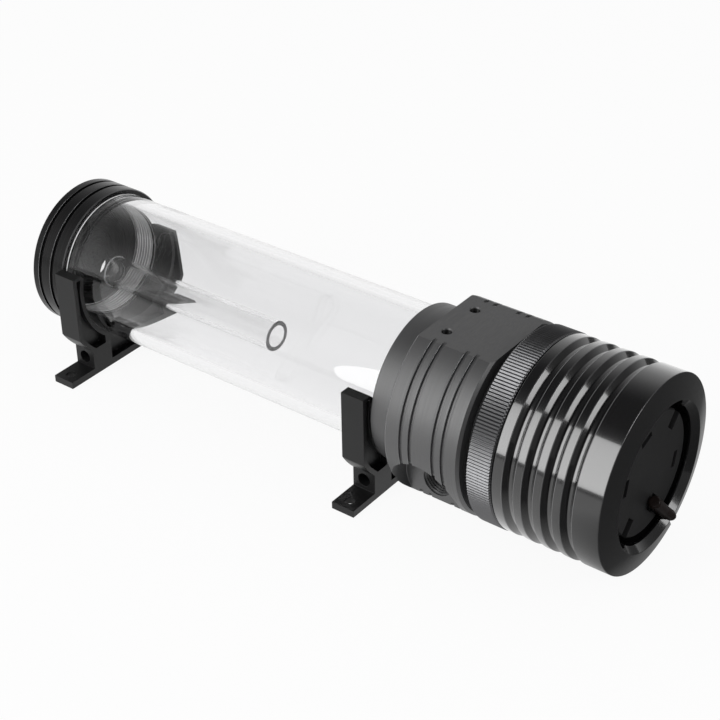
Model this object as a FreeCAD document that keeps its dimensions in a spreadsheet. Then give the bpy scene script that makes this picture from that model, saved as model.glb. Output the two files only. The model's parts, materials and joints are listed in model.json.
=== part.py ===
"""Coolant pump reservoir: a clear tube with a screwed end cap, a magnetically driven pump in a machined
body at the other end, and two base clamps.

Millimetres. Origin midway between the four foot holes, on the plane that the feet stand on. +X runs along
the tube towards the pump, +Z is up.
"""
import FreeCAD, Part
import math
import os
import Sketcher

V = FreeCAD.Vector
X_AXIS = V(1, 0, 0)
Y_AXIS = V(0, 1, 0)
Z_AXIS = V(0, 0, 1)
ALONG_X = FreeCAD.Rotation(Y_AXIS, 90)
ALONG_MINUS_Y = FreeCAD.Rotation(X_AXIS, 90)
UPRIGHT = FreeCAD.Rotation()
REACH = 2.0

os.makedirs("parts", exist_ok=True)
doc = FreeCAD.newDocument("coolant_pump_reservoir")

# Driving sizes
SIZES = {
    "axis_height": 41.0,
    "seal_gap": 0.4,
    "thread_clearance": 0.1,
    "port_bore": 13.16,
    # tube
    "tube_outer": 60.0,
    "tube_wall": 5.0,
    "tube_length": 182.8,
    "tube_lead_in": 0.5,
    # seals of the tube's ends
    "seal_mid_radius": 27.6,
    "seal_width": 2.0,
    "seal_bevel": 0.6,
    "seal_groove_depth": 1.4,
    "seal_side_clearance": 0.1,
    # end cap
    "cap_outer": 64.4,
    "cap_length": 18.0,
    "cap_floor": 8.3,
    "cap_chamfer": 0.9,
    "cap_gap": 0.1,
    "cap_groove_width": 1.7,
    "cap_groove_depth": 1.2,
    "cap_groove_first": 3.9,
    "cap_groove_second": 10.6,
    "cap_port_radius": 14.7,
    "cap_port_angle": 122.0,
    # return pipe
    "pipe_outer": 14.0,
    "pipe_bore": 10.0,
    "pipe_reach": 96.0,
    "pipe_collar_outer": 16.6,
    "pipe_collar_length": 3.0,
    "pipe_thread_length": 3.4,
    "pipe_thread_outer": 12.4,
    # fill plug
    "plug_head_outer": 17.5,
    "plug_head_height": 3.4,
    "plug_thread_length": 6.0,
    "plug_thread_clearance": 0.3,
    "plug_socket": 6.0,
    "plug_socket_depth": 5.0,
    "plug_seal_outer": 15.2,
    "plug_seal_inner": 13.6,
    "plug_seal_groove": 1.1,
    # pump body
    "socket_depth": 9.6,
    "collar_outer": 65.2,
    "collar_length": 11.4,
    "body_outer": 78.5,
    "body_length": 33.0,
    "body_edge": 0.6,
    "body_end_chamfer": 1.1,
    "body_groove_width": 1.0,
    "body_groove_depth": 0.9,
    "body_groove_spacing": 4.2,
    "body_groove_first": 6.3,
    "body_groove_third": 20.8,
    "flat_height": 34.85,
    "flat_hole": 4.0,
    "flat_hole_chamfer": 0.5,
    "flat_hole_depth": 8.0,
    "flat_hole_spacing": 18.8,
    "flat_hole_place": 7.2,
    # volute and outlet
    "inlet_bore": 17.0,
    "inlet_mouth": 30.0,
    "nozzle_outer": 23.0,
    "nozzle_gap": 0.5,
    "chamber_clearance": 3.5,
    "chamber_front": 21.4,
    "outlet_drop": 21.5,
    "outlet_place": 25.9,
    "outlet_seat": 25.0,
    "outlet_spot_face": 29.0,
    "outlet_thread_length": 9.0,
    "outlet_channel": 9.0,
    # motor
    "neck_wall": 2.7,
    "neck_length": 10.2,
    "flange_thickness": 4.2,
    "flange_clearance": 0.2,
    "motor_seal_inset": 3.0,
    "bowl_depth_place": 2.4,
    "bowl_to_shell": 12.0,
    "bowl_wall": 1.5,
    "ball_radius": 3.0,
    "ball_flat_place": 2.4,
    "ball_clearance": 0.05,
    "post_radius": 1.6,
    "post_clearance": 0.02,
    "rotor_gap": 0.8,
    "magnet_thickness": 4.4,
    "post_hole_radius": 3.0,
    "cup_radius": 6.0,
    "cup_length": 6.3,
    "cup_setback": 0.2,
    "hub_setback": 0.5,
    "hub_length": 4.0,
    "impeller_radius": 19.5,
    "impeller_eye_clearance": 0.0,
    "impeller_nose_clearance": 0.5,
    "impeller_shroud": 1.5,
    "vane_height": 6.5,
    "vane_thickness": 1.6,
    "vane_count": 6,
    "vane_bend": 14.04,
    "vane_bend_place": 12.636,
    "vane_setback": 0.1,
    "motor_outer": 56.0,
    "motor_wall": 2.0,
    "motor_band_step": 2.0,
    "motor_band_length": 6.2,
    "motor_length": 40.3,
    "motor_boss_step": 4.2,
    "motor_boss_length": 9.6,
    "core_ring_thickness": 3.3,
    "core_clearance": 0.2,
    "core_length": 18.0,
    "core_place": 2.5,
    "pole_count": 6,
    "pole_width": 6.0,
    "pole_setback": 2.0,
    "coil_thickness": 3.0,
    "coil_rounding": 1.6,
    "coil_clearance": 0.9,
    "bowl_clearance": 0.3,
    "board_place": 23.7,
    "board_thickness": 1.6,
    "board_hole": 8.0,
    "part_circle": 17.0,
    "capacitor_outer": 8.0,
    "capacitor_length": 9.0,
    "chip_side": 7.0,
    "chip_thickness": 1.6,
    "driver_side": 5.0,
    "driver_thickness": 1.4,
    "socket_side": 8.0,
    "socket_height": 6.0,
    # retaining ring
    "ring_step": 0.25,
    "ring_head_length": 10.6,
    "ring_neck": 3.5,
    "knurl_count": 190,
    "knurl_depth": 0.55,
    # cover
    "cover_wall": 11.05,
    "cover_clearance": 0.3,
    "cover_length": 44.7,
    "cover_cone": 2.6,
    "cover_mouth_clearance": 1.5,
    "cover_mouth_depth": 3.4,
    "cover_edge": 0.4,
    "fin_first": 4.8,
    "fin_groove": 4.9,
    "fin_pitch": 8.1,
    "fin_depth": 4.3,
    "fin_count": 4,
    # rear plate
    "plate_overhang": 1.2,
    "plate_thickness": 3.0,
    "plate_chamfer": 0.5,
    "plate_slot_angle": 47.0,
    "plate_slot_width": 5.0,
    "plate_slot_depth": 7.2,
    "plate_arc_inset": 6.2,
    "plate_arc_width": 2.6,
    "plate_arc_length": 7.0,
    "plate_trough_clearance": 0.3,
    # cable
    "cable_outer": 4.2,
    "gland_outer": 5.8,
    "gland_length": 6.0,
    "gland_taper": 1.2,
    "gland_lift": 1.6,
    "gland_side": 5.6,
    "gland_drop": 17.6,
    "notch_width": 5.4,
    "coil_mean_radius": 21.0,
    "coil_center_x": 120.0,
    "coil_center_y": 70.0,
    "coil_turn_rows": 2,
    "coil_corner": 1.26,
    "coil_lift": 0.2,
    "connector_length": 14.0,
    "connector_width": 10.8,
    "connector_height": 7.2,
    "connector_rib_width": 1.0,
    "connector_rib_height": 0.8,
    "connector_setback": 1.0,
    "pin_width": 0.64,
    "pin_clearance": 0.25,
    "pin_length": 6.0,
    "pin_pitch": 2.54,
    "pin_count": 4,
    # clamps
    "clamp_pitch": 152.4,
    "clamp_width": 10.6,
    "clamp_bore_clearance": 0.1,
    "clamp_ring_outer": 81.4,
    "clamp_span": 70.6,
    "clamp_top": 50.7,
    "clamp_tip": 1.6,
    "clamp_rim": 2.0,
    "clamp_wall": 2.0,
    "clamp_top_wall": 1.6,
    "clamp_pocket_depth": 3.2,
    "clamp_rib_inner": 17.5,
    "clamp_rib_outer": 20.4,
    "clamp_pocket_floor": 12.7,
    "block_span": 57.0,
    "block_height": 12.3,
    "foot_span": 85.0,
    "foot_height": 3.2,
    "foot_hole": 4.2,
    "foot_hole_edge": 4.8,
    "side_hole": 5.7,
    "side_hole_depth": 8.0,
    "side_hole_height": 7.6,
}

sheet = doc.addObject("Spreadsheet::Sheet", "Sizes")
for row, (word, number) in enumerate(SIZES.items(), start=1):
    sheet.set(f"A{row}", word)
    sheet.set(f"B{row}", str(number))
    sheet.setAlias(f"B{row}", word)
doc.recompute()


def size(word):
    """One driving size, read from the sheet."""
    return float(sheet.get(word))


def number_of(expression):
    """The value of an expression of sheet aliases."""
    result = sheet.evalExpression(expression)
    return float(getattr(result, "Value", result))


# Places along the axis, as expressions
CAP_NEAR = "(-(Sizes.clamp_pitch + Sizes.clamp_width) / 2 - Sizes.cap_gap)"
CAP_FAR = f"({CAP_NEAR} - Sizes.cap_length)"
CAP_FLOOR = f"({CAP_FAR} + Sizes.cap_floor)"
TUBE_START = f"({CAP_FLOOR} + Sizes.seal_gap)"
TUBE_END = f"({TUBE_START} + Sizes.tube_length)"
BODY_SEAT = f"({TUBE_END} + Sizes.seal_gap)"
COLLAR_FRONT = f"({BODY_SEAT} - Sizes.socket_depth)"
BODY_END = f"({COLLAR_FRONT} + Sizes.collar_length + Sizes.body_length)"
FLANGE_FRONT = f"({BODY_END} + Sizes.seal_gap)"
FLANGE_BACK = f"({FLANGE_FRONT} + Sizes.flange_thickness)"
BALL_PLACE = f"({FLANGE_FRONT} + Sizes.bowl_depth_place)"
CUP_BACK = f"({BALL_PLACE} - Sizes.cup_setback)"
HUB_BACK = f"({BALL_PLACE} - Sizes.hub_setback)"
HUB_FRONT = f"({HUB_BACK} - Sizes.hub_length)"
IMPELLER_FRONT = f"({HUB_FRONT} - 2 * Sizes.impeller_shroud - Sizes.vane_height)"
RING_HEAD = f"({BODY_END} + Sizes.ring_neck)"
COVER_START = f"({RING_HEAD} + Sizes.ring_head_length)"
BAND_END = f"({FLANGE_BACK} + Sizes.motor_band_length)"
MOTOR_END = f"({FLANGE_BACK} + Sizes.motor_length)"
PLATE_BACK = f"({MOTOR_END} + Sizes.motor_boss_length)"
PLATE_FRONT = f"({PLATE_BACK} + Sizes.plate_thickness)"

# Radii that several pieces share, as expressions
MOTOR_RADIUS = "(Sizes.motor_outer / 2)"
BAND_RADIUS = f"({MOTOR_RADIUS} + Sizes.motor_band_step)"
NECK_RADIUS = f"({BAND_RADIUS} + Sizes.flange_clearance + Sizes.neck_wall)"
MOTOR_SEAL_RADIUS = f"({BAND_RADIUS} - Sizes.motor_seal_inset)"
BOWL_RADIUS = f"({MOTOR_RADIUS} - Sizes.bowl_to_shell)"
BOSS_RADIUS = f"({MOTOR_RADIUS} - Sizes.motor_boss_step)"
PLATE_RADIUS = f"({BOSS_RADIUS} + Sizes.plate_overhang)"
COVER_BORE = f"({MOTOR_RADIUS} + Sizes.cover_clearance)"
COVER_RADIUS = f"({COVER_BORE} + Sizes.cover_wall)"
RING_RADIUS = f"({COVER_RADIUS} + Sizes.ring_step)"
CHAMBER_RADIUS = "(Sizes.impeller_radius + Sizes.chamber_clearance)"
CORE_RADIUS = f"({MOTOR_RADIUS} - Sizes.motor_wall - Sizes.core_clearance)"
FOOT_HOLE_PLACE = "(Sizes.foot_span / 2 - Sizes.foot_hole_edge)"


def place(thing, x="0", y="0", z="Sizes.axis_height", rotation=UPRIGHT):
    """Bind a thing's place to the sheet."""
    thing.Placement = FreeCAD.Placement(V(0, 0, 0), rotation)
    for letter, expression in (("x", x), ("y", y), ("z", z)):
        thing.setExpression(f"Placement.Base.{letter}", expression)
    return thing


def primitive(kind, name, sizes, **where):
    """A Part primitive whose sizes and place come from the sheet."""
    thing = doc.addObject(f"Part::{kind}", name)
    for prop, expression in sizes.items():
        thing.setExpression(prop, expression)
    return place(thing, **where)


def rod(name, radius, length, **where):
    """A cylinder along +X, unless a rotation is given."""
    where.setdefault("rotation", ALONG_X)
    return primitive("Cylinder", name, {"Radius": radius, "Height": length}, **where)


def block(name, length, width, height, **where):
    """A box from its low corner."""
    return primitive("Box", name, {"Length": length, "Width": width, "Height": height}, **where)


def ball(name, radius, **where):
    """A full sphere."""
    return primitive("Sphere", name, {"Radius": radius}, **where)


def fused(name, pieces):
    """One solid from several."""
    if len(pieces) == 1:
        return pieces[0]
    joined = doc.addObject("Part::MultiFuse", name)
    joined.Shapes = pieces
    return joined


def common(name, pieces):
    """What several solids share."""
    shared = doc.addObject("Part::MultiCommon", name)
    shared.Shapes = pieces
    return shared


def cut(name, base, tools):
    """A base less its tools."""
    result = doc.addObject("Part::Cut", name)
    result.Base = base
    result.Tool = fused(f"{name}_tools", tools)
    return result


def made(name, shape):
    """A feature whose shape was worked out from the sheet's sizes."""
    feature = doc.addObject("Part::Feature", name)
    feature.Shape = shape
    return feature


def pin_down(sketch, line, end, x, r):
    """Bind one corner of an outline to its place along the axis and its radius."""
    for kind, expression, axis in (("DistanceX", x, -2), ("DistanceY", r, -1)):
        if expression == "0":
            sketch.addConstraint(Sketcher.Constraint("PointOnObject", line, end, axis))
        else:
            value = number_of(expression)
            index = sketch.addConstraint(Sketcher.Constraint(kind, -1, 1, line, end, value))
            sketch.setExpression(f"Constraints[{index}]", expression)


def turned(name, corners, **where):
    """A body turned about the X axis from the corners (place along the axis, radius) of its half section."""
    body = doc.addObject("PartDesign::Body", name)
    sketch = body.newObject("Sketcher::SketchObject", f"{name}_outline")
    plane = next(item for item in body.Origin.OriginFeatures if item.Role == "XZ_Plane")
    sketch.AttachmentSupport = (plane, [""])
    sketch.MapMode = "FlatFace"
    points = [V(number_of(x), number_of(r), 0) for x, r in corners]
    count = len(points)
    for index in range(count):
        sketch.addGeometry(Part.LineSegment(points[index], points[(index + 1) % count]), False)
    for index in range(count):
        following = (index + 1) % count
        sketch.addConstraint(Sketcher.Constraint("Coincident", index, 2, following, 1))
    for index, (x, r) in enumerate(corners):
        pin_down(sketch, index, 1, x, r)
    revolution = body.newObject("PartDesign::Revolution", f"{name}_turned")
    revolution.Profile = sketch
    revolution.ReferenceAxis = (sketch, ["H_Axis"])
    revolution.Angle = 360
    body.Tip = revolution
    return place(body, **where)


def half(word):
    """Half of a size, such as the radius of a diameter."""
    return f"Sizes.{word} / 2"


def groove_corners(starts, radius, width, depth):
    """The corners of plain grooves along an outer surface, left to right."""
    corners = []
    floor = f"{radius} - {depth}"
    for start in starts:
        end = f"{start} + {width}"
        corners += [(start, radius), (start, floor), (end, floor), (end, radius)]
    return corners


def seal_groove(face, depth_sign):
    """The corners of a face seal's groove, from its outer wall to its inner wall."""
    outer = "Sizes.seal_mid_radius + Sizes.seal_width / 2 + Sizes.seal_side_clearance"
    inner = "Sizes.seal_mid_radius - Sizes.seal_width / 2 - Sizes.seal_side_clearance"
    floor = f"{face} {depth_sign} Sizes.seal_groove_depth"
    return [(face, outer), (floor, outer), (floor, inner), (face, inner)]


def seal_ring(name, middle, start):
    """A seal ring as it sits squeezed: flat where it bears, round at its sides."""
    width = "Sizes.seal_width"
    height = "(Sizes.seal_groove_depth + Sizes.seal_gap)"
    bevel = "Sizes.seal_bevel"
    inner = f"{middle} - {width} / 2"
    outer = f"{middle} + {width} / 2"
    corners = [
        ("0", f"{inner} + {bevel}"), ("0", f"{outer} - {bevel}"),
        (bevel, outer), (f"{height} - {bevel}", outer),
        (height, f"{outer} - {bevel}"), (height, f"{inner} + {bevel}"),
        (f"{height} - {bevel}", inner), (bevel, inner),
    ]
    return turned(name, corners, x=start)


# End cap
def port_place(side):
    """Where one of the cap's two ports lies: the fill port on side 1, the return port on side -1."""
    across = f"{side} * Sizes.cap_port_radius * cos(Sizes.cap_port_angle * 1 deg)"
    above = f"Sizes.axis_height + {side} * Sizes.cap_port_radius * sin(Sizes.cap_port_angle * 1 deg)"
    return across, above


FILL_Y, FILL_Z = port_place(1)
RETURN_Y, RETURN_Z = port_place(-1)


def end_cap():
    outer = half("cap_outer")
    length = "Sizes.cap_length"
    floor = "Sizes.cap_floor"
    socket = "Sizes.tube_outer / 2 + Sizes.thread_clearance"
    chamfer = "Sizes.cap_chamfer"
    corners = [("0", "0"), ("0", f"{outer} - {chamfer}"), (chamfer, outer)]
    corners += groove_corners(["Sizes.cap_groove_first", "Sizes.cap_groove_second"], outer,
                              "Sizes.cap_groove_width", "Sizes.cap_groove_depth")
    corners += [(f"{length} - {chamfer} / 2", outer), (length, f"{outer} - {chamfer} / 2")]
    corners += [(length, socket), (floor, socket)]
    corners += seal_groove(floor, "-")
    corners += [(floor, "0")]
    cap = turned("cap_blank", corners, x=CAP_FAR)
    ports = []
    ports.append(rod("cap_fill_port", half("port_bore"), f"{floor} + {2 * REACH}",
                     x=f"{CAP_FAR} - {REACH}", y=FILL_Y, z=FILL_Z))
    ports.append(rod("cap_return_port", half("port_bore"), f"{floor} - Sizes.pipe_thread_length + {REACH}",
                     x=f"{CAP_FAR} - {REACH}", y=RETURN_Y, z=RETURN_Z))
    ports.append(rod("cap_pipe_hole", f"{half('pipe_thread_outer')} + Sizes.thread_clearance",
                     f"Sizes.pipe_thread_length + {2 * REACH}",
                     x=f"{CAP_FLOOR} - Sizes.pipe_thread_length - {REACH / 2}", y=RETURN_Y, z=RETURN_Z))
    return cut("end_cap", cap, ports)


# Return pipe
def return_pipe():
    bore = half("pipe_bore")
    thread = half("pipe_thread_outer")
    collar = half("pipe_collar_outer")
    outer = half("pipe_outer")
    thread_end = "Sizes.pipe_thread_length"
    collar_end = "Sizes.pipe_thread_length + Sizes.pipe_collar_length"
    end = "Sizes.pipe_thread_length + Sizes.pipe_reach"
    rounding = "0.4"
    corners = [
        ("0", bore), ("0", thread), (thread_end, thread), (thread_end, collar),
        (collar_end, collar), (collar_end, outer), (f"{end} - {rounding}", outer),
        (end, f"{outer} - {rounding}"), (end, f"{bore} + {rounding}"), (f"{end} - {rounding}", bore),
    ]
    return turned("return_pipe", corners, x=f"{CAP_FLOOR} - Sizes.pipe_thread_length",
                  y=RETURN_Y, z=RETURN_Z)


# Fill plug: a threaded stopper with a hexagon socket and a seal under its head
def hexagon(name, across_flats, length, **where):
    prism = primitive("Prism", name, {"Circumradius": f"{across_flats} / 2 / cos(30 deg)", "Height": length},
                      rotation=ALONG_X, **where)
    prism.Polygon = 6
    return prism


def fill_plug():
    head = half("plug_head_outer")
    height = "Sizes.plug_head_height"
    thread = "Sizes.port_bore / 2 - Sizes.plug_thread_clearance"
    bevel = "0.6"
    groove_outer = f"{half('plug_seal_outer')} + Sizes.plug_thread_clearance"
    groove_inner = f"{half('plug_seal_inner')} - Sizes.plug_thread_clearance / 2"
    groove_floor = f"{height} - Sizes.plug_seal_groove"
    end = f"{height} + Sizes.plug_thread_length"
    corners = [
        ("0", "0"), ("0", f"{head} - {bevel}"), (bevel, head), (height, head), (height, groove_outer),
        (groove_floor, groove_outer), (groove_floor, groove_inner), (height, groove_inner),
        (height, thread), (f"{end} - {bevel}", thread), (end, f"{thread} - {bevel}"), (end, "0"),
    ]
    blank = turned("plug_blank", corners, x=f"{CAP_FAR} - {height}", y=FILL_Y, z=FILL_Z)
    socket = hexagon("plug_socket", "Sizes.plug_socket", f"Sizes.plug_socket_depth + {REACH}",
                     x=f"{CAP_FAR} - {height} - {REACH}", y=FILL_Y, z=FILL_Z)
    return cut("fill_plug", blank, [socket])


def fill_plug_oring():
    inner = half("plug_seal_inner")
    outer = half("plug_seal_outer")
    height = "Sizes.plug_seal_groove"
    bevel = "0.25"
    corners = [
        ("0", f"{inner} + {bevel}"), ("0", f"{outer} - {bevel}"), (bevel, outer),
        (f"{height} - {bevel}", outer), (height, f"{outer} - {bevel}"), (height, f"{inner} + {bevel}"),
        (f"{height} - {bevel}", inner), (bevel, inner),
    ]
    return turned("fill_plug_oring", corners, x=f"{CAP_FAR} - {height}", y=FILL_Y, z=FILL_Z)


# Tube
def reservoir_tube():
    outer = half("tube_outer")
    inner = "Sizes.tube_outer / 2 - Sizes.tube_wall"
    end = "Sizes.tube_length"
    edge = "Sizes.tube_lead_in"
    corners = [
        ("0", inner), ("0", f"{outer} - {edge}"), (edge, outer), (f"{end} - {edge}", outer),
        (end, f"{outer} - {edge}"), (end, inner),
    ]
    return turned("reservoir_tube", corners, x=TUBE_START)


# Pump body
def pump_top():
    collar = half("collar_outer")
    outer = half("body_outer")
    socket = "Sizes.tube_outer / 2 + Sizes.thread_clearance"
    seat = "Sizes.socket_depth"
    shoulder = "Sizes.collar_length"
    end = "Sizes.collar_length + Sizes.body_length"
    edge = "Sizes.body_edge"
    chamfer = "Sizes.body_end_chamfer"
    neck = NECK_RADIUS
    neck_end = f"{end} + Sizes.neck_length"
    recess = f"{BAND_RADIUS} + Sizes.flange_clearance"
    front = "Sizes.chamber_front"
    nozzle_end = f"{IMPELLER_FRONT} - Sizes.nozzle_gap - {COLLAR_FRONT}"
    starts = []
    for first in ("body_groove_first", "body_groove_third"):
        start = f"{shoulder} + Sizes.{first}"
        starts += [start, f"{start} + Sizes.body_groove_spacing"]
    corners = [("0", socket), ("0", f"{collar} - {edge}"), (edge, collar), (shoulder, collar)]
    corners += [(shoulder, f"{outer} - {edge}"), (f"{shoulder} + {edge}", outer)]
    corners += groove_corners(starts, outer, "Sizes.body_groove_width", "Sizes.body_groove_depth")
    corners += [(f"{end} - {chamfer}", outer), (end, f"{outer} - {chamfer}"), (end, neck)]
    corners += [(f"{neck_end} - {edge}", neck), (neck_end, f"{neck} - {edge}")]
    corners += [(neck_end, recess), (end, recess)]
    corners += [(end, CHAMBER_RADIUS), (front, CHAMBER_RADIUS), (front, half("nozzle_outer"))]
    corners += [(nozzle_end, half("nozzle_outer")), (nozzle_end, half("inlet_bore"))]
    corners += [(front, half("inlet_bore"))]
    corners += [(seat, half("inlet_mouth"))]
    corners += list(reversed(seal_groove(seat, "+")))
    corners += [(seat, socket)]
    blank = turned("body_blank", corners, x=COLLAR_FRONT)

    wide = "Sizes.body_outer"
    start = f"{COLLAR_FRONT} + {shoulder}"
    cuts = [block("body_flat", f"Sizes.body_length + {REACH}", wide, wide,
                  x=f"{start}", y=f"-({wide}) / 2", z="Sizes.axis_height + Sizes.flat_height")]
    flat_top = "Sizes.axis_height + Sizes.flat_height"
    for side in (-1, 1):
        where = {"x": f"{start} + Sizes.flat_hole_place", "y": f"{side} * Sizes.flat_hole_spacing / 2"}
        cuts.append(rod(f"flat_hole_{side + 2}", half("flat_hole"), f"Sizes.flat_hole_depth + {REACH}",
                        z=f"{flat_top} - Sizes.flat_hole_depth", rotation=UPRIGHT, **where))
        mouth = primitive("Cone", f"flat_hole_mouth_{side + 2}",
                          {"Radius1": half("flat_hole"),
                           "Radius2": f"{half('flat_hole')} + 2 * Sizes.flat_hole_chamfer",
                           "Height": "2 * Sizes.flat_hole_chamfer"},
                          z=f"{flat_top} - Sizes.flat_hole_chamfer", rotation=UPRIGHT, **where)
        cuts.append(mouth)
    outlet = {"x": f"{COLLAR_FRONT} + Sizes.outlet_place", "z": "Sizes.axis_height - Sizes.outlet_drop",
              "rotation": ALONG_MINUS_Y}
    cuts.append(rod("outlet_spot_face", half("outlet_spot_face"), wide, y="-Sizes.outlet_seat", **outlet))
    cuts.append(rod("outlet_thread", half("port_bore"), f"Sizes.outlet_thread_length + {REACH}",
                    y="-Sizes.outlet_seat + Sizes.outlet_thread_length", **outlet))
    cuts.append(rod("outlet_channel", half("outlet_channel"), "Sizes.outlet_seat", y="0", **outlet))
    return cut("pump_top", blank, cuts)


# Motor housing: the flange, and the thin bowl between the rotor and the windings
def motor_housing():
    flange = BAND_RADIUS
    outer_bowl = f"{BOWL_RADIUS} + Sizes.bowl_wall"
    seal_outer = f"{MOTOR_SEAL_RADIUS} + Sizes.seal_width / 2 + Sizes.seal_side_clearance"
    seal_inner = f"{MOTOR_SEAL_RADIUS} - Sizes.seal_width / 2 - Sizes.seal_side_clearance"
    depth = "Sizes.seal_groove_depth"
    disc = turned("housing_flange", [
        ("0", "0"), ("0", seal_inner), (depth, seal_inner), (depth, seal_outer), ("0", seal_outer),
        ("0", flange),
        ("Sizes.flange_thickness", flange), ("Sizes.flange_thickness", "0"),
    ], x=FLANGE_FRONT)
    bowl = ball("housing_bowl", outer_bowl, x=BALL_PLACE)
    behind = rod("housing_bowl_side", f"{outer_bowl} + {REACH}", f"{outer_bowl} + {REACH}", x=BALL_PLACE)
    shell = fused("housing_solid", [disc, common("housing_half_bowl", [bowl, behind])])
    inside = ball("housing_hollow", BOWL_RADIUS, x=BALL_PLACE)
    mouth = rod("housing_mouth", BOWL_RADIUS, f"Sizes.bowl_depth_place + {REACH}",
                x=f"{FLANGE_FRONT} - {REACH}")
    return cut("motor_housing", shell, [inside, mouth])


def bearing_post():
    start = f"{BALL_PLACE} + Sizes.ball_flat_place"
    return rod("bearing_post", "Sizes.post_radius",
               f"sqrt(({BOWL_RADIUS} - Sizes.post_clearance) ^ 2 - Sizes.post_radius ^ 2)"
               " - Sizes.ball_flat_place", x=start)


def bearing_ball():
    whole = ball("ball_blank", "Sizes.ball_radius", x=BALL_PLACE)
    flat = rod("ball_flat", "2 * Sizes.ball_radius", "Sizes.ball_radius",
               x=f"{BALL_PLACE} + Sizes.ball_flat_place")
    return cut("bearing_ball", whole, [flat])


# Rotor: the cup that runs on the ball, the magnet shell and the impeller
def bearing_cup():
    blank = rod("cup_blank", "Sizes.cup_radius", "Sizes.cup_length", x=f"{CUP_BACK} - Sizes.cup_length")
    seat = ball("cup_seat", "Sizes.ball_radius + Sizes.ball_clearance", x=BALL_PLACE)
    return cut("bearing_cup", blank, [seat])


def rotor_magnet():
    radius = f"{BOWL_RADIUS} - Sizes.rotor_gap"
    whole = ball("magnet_blank", radius, x=BALL_PLACE)
    behind = rod("magnet_side", f"{radius} + {REACH}", f"{radius} + {REACH}", x=HUB_BACK)
    hollow = ball("magnet_hollow", f"{radius} - Sizes.magnet_thickness", x=BALL_PLACE)
    hole = rod("magnet_post_hole", "Sizes.post_hole_radius", radius + f" + {REACH}", x=BALL_PLACE)
    return cut("rotor_magnet", common("magnet_half", [whole, behind]), [hollow, hole])


def impeller():
    """A closed impeller: hub disc, back shroud, curved vanes and front shroud with its eye."""
    axis = V(0, 0, size("axis_height"))
    radius = size("impeller_radius")
    shroud = size("impeller_shroud")
    hub_back = number_of(HUB_BACK)
    hub_front = number_of(HUB_FRONT)
    hub_radius = number_of(BOWL_RADIUS) - size("rotor_gap")
    eye = size("inlet_bore") / 2 + size("impeller_eye_clearance")
    back = hub_front - shroud
    front = back - size("vane_height")

    def disc(r, start, end):
        return Part.makeCylinder(r, end - start, axis + V(start, 0, 0), X_AXIS)

    nose_length = size("cup_length") - (number_of(CUP_BACK) - back) + shroud
    nose = eye - size("impeller_nose_clearance")
    body = disc(hub_radius, hub_front, hub_back)
    body = body.fuse([disc(radius, back, hub_front), disc(nose, back - nose_length, back)])
    body = body.cut(disc(size("cup_radius"), number_of(CUP_BACK) - size("cup_length"), hub_back + REACH))
    lid = disc(radius, front - shroud, front).cut(disc(eye, front - shroud - REACH, front + REACH))
    bend = size("vane_bend")
    inner_bend = bend - size("vane_thickness")
    sector = disc(radius - size("vane_setback"), front, back).cut(disc(nose, front - REACH, back + REACH))
    vanes = []
    for index in range(int(size("vane_count"))):
        turn = math.radians(index * 360 / size("vane_count"))
        middle = V(front, math.cos(turn) * size("vane_bend_place"), math.sin(turn) * size("vane_bend_place"))
        shell = Part.makeCylinder(bend, back - front, axis + middle, X_AXIS)
        shell = shell.cut(Part.makeCylinder(inner_bend, back - front, axis + middle, X_AXIS))
        ahead = V(0, math.cos(turn + math.pi / 2), math.sin(turn + math.pi / 2))
        keep = Part.makeBox(back - front, 2 * radius, 2 * radius, V(front, 0, -radius))
        keep.rotate(V(0, 0, 0), X_AXIS, math.degrees(math.atan2(ahead.z, ahead.y)))
        keep.translate(axis)
        vanes.append(shell.common(keep).common(sector))
    whole = body.fuse(vanes + [lid]).removeSplitter()
    return made("impeller", whole)


# Stator: a ring with poles, a winding on each pole
def stator_core():
    axis = V(0, 0, size("axis_height"))
    outer = number_of(CORE_RADIUS)
    start = number_of(BALL_PLACE) + size("core_place")
    length = size("core_length")
    setback = size("pole_setback")
    ring = Part.makeCylinder(outer, length, axis + V(start, 0, 0), X_AXIS)
    inner = outer - size("core_ring_thickness")
    ring = ring.cut(Part.makeCylinder(inner, length, axis + V(start, 0, 0), X_AXIS))
    width = size("pole_width")
    poles = []
    for index in range(int(size("pole_count"))):
        pole = Part.makeBox(length - 2 * setback, outer - size("core_ring_thickness") / 2, width,
                            V(start + setback, 0, -width / 2))
        pole.rotate(V(0, 0, 0), X_AXIS, index * 360 / size("pole_count"))
        pole.translate(axis)
        poles.append(pole)
    clear = number_of(BOWL_RADIUS) + size("bowl_wall") + size("bowl_clearance")
    room = Part.makeSphere(clear, axis + V(number_of(BALL_PLACE), 0, 0))
    tunnel = clear - 2 * setback
    room = room.fuse(Part.makeCylinder(tunnel, length + 2 * setback, axis + V(start - setback, 0, 0), X_AXIS))
    return made("stator_core", ring.fuse(poles).cut(room).removeSplitter())


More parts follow.
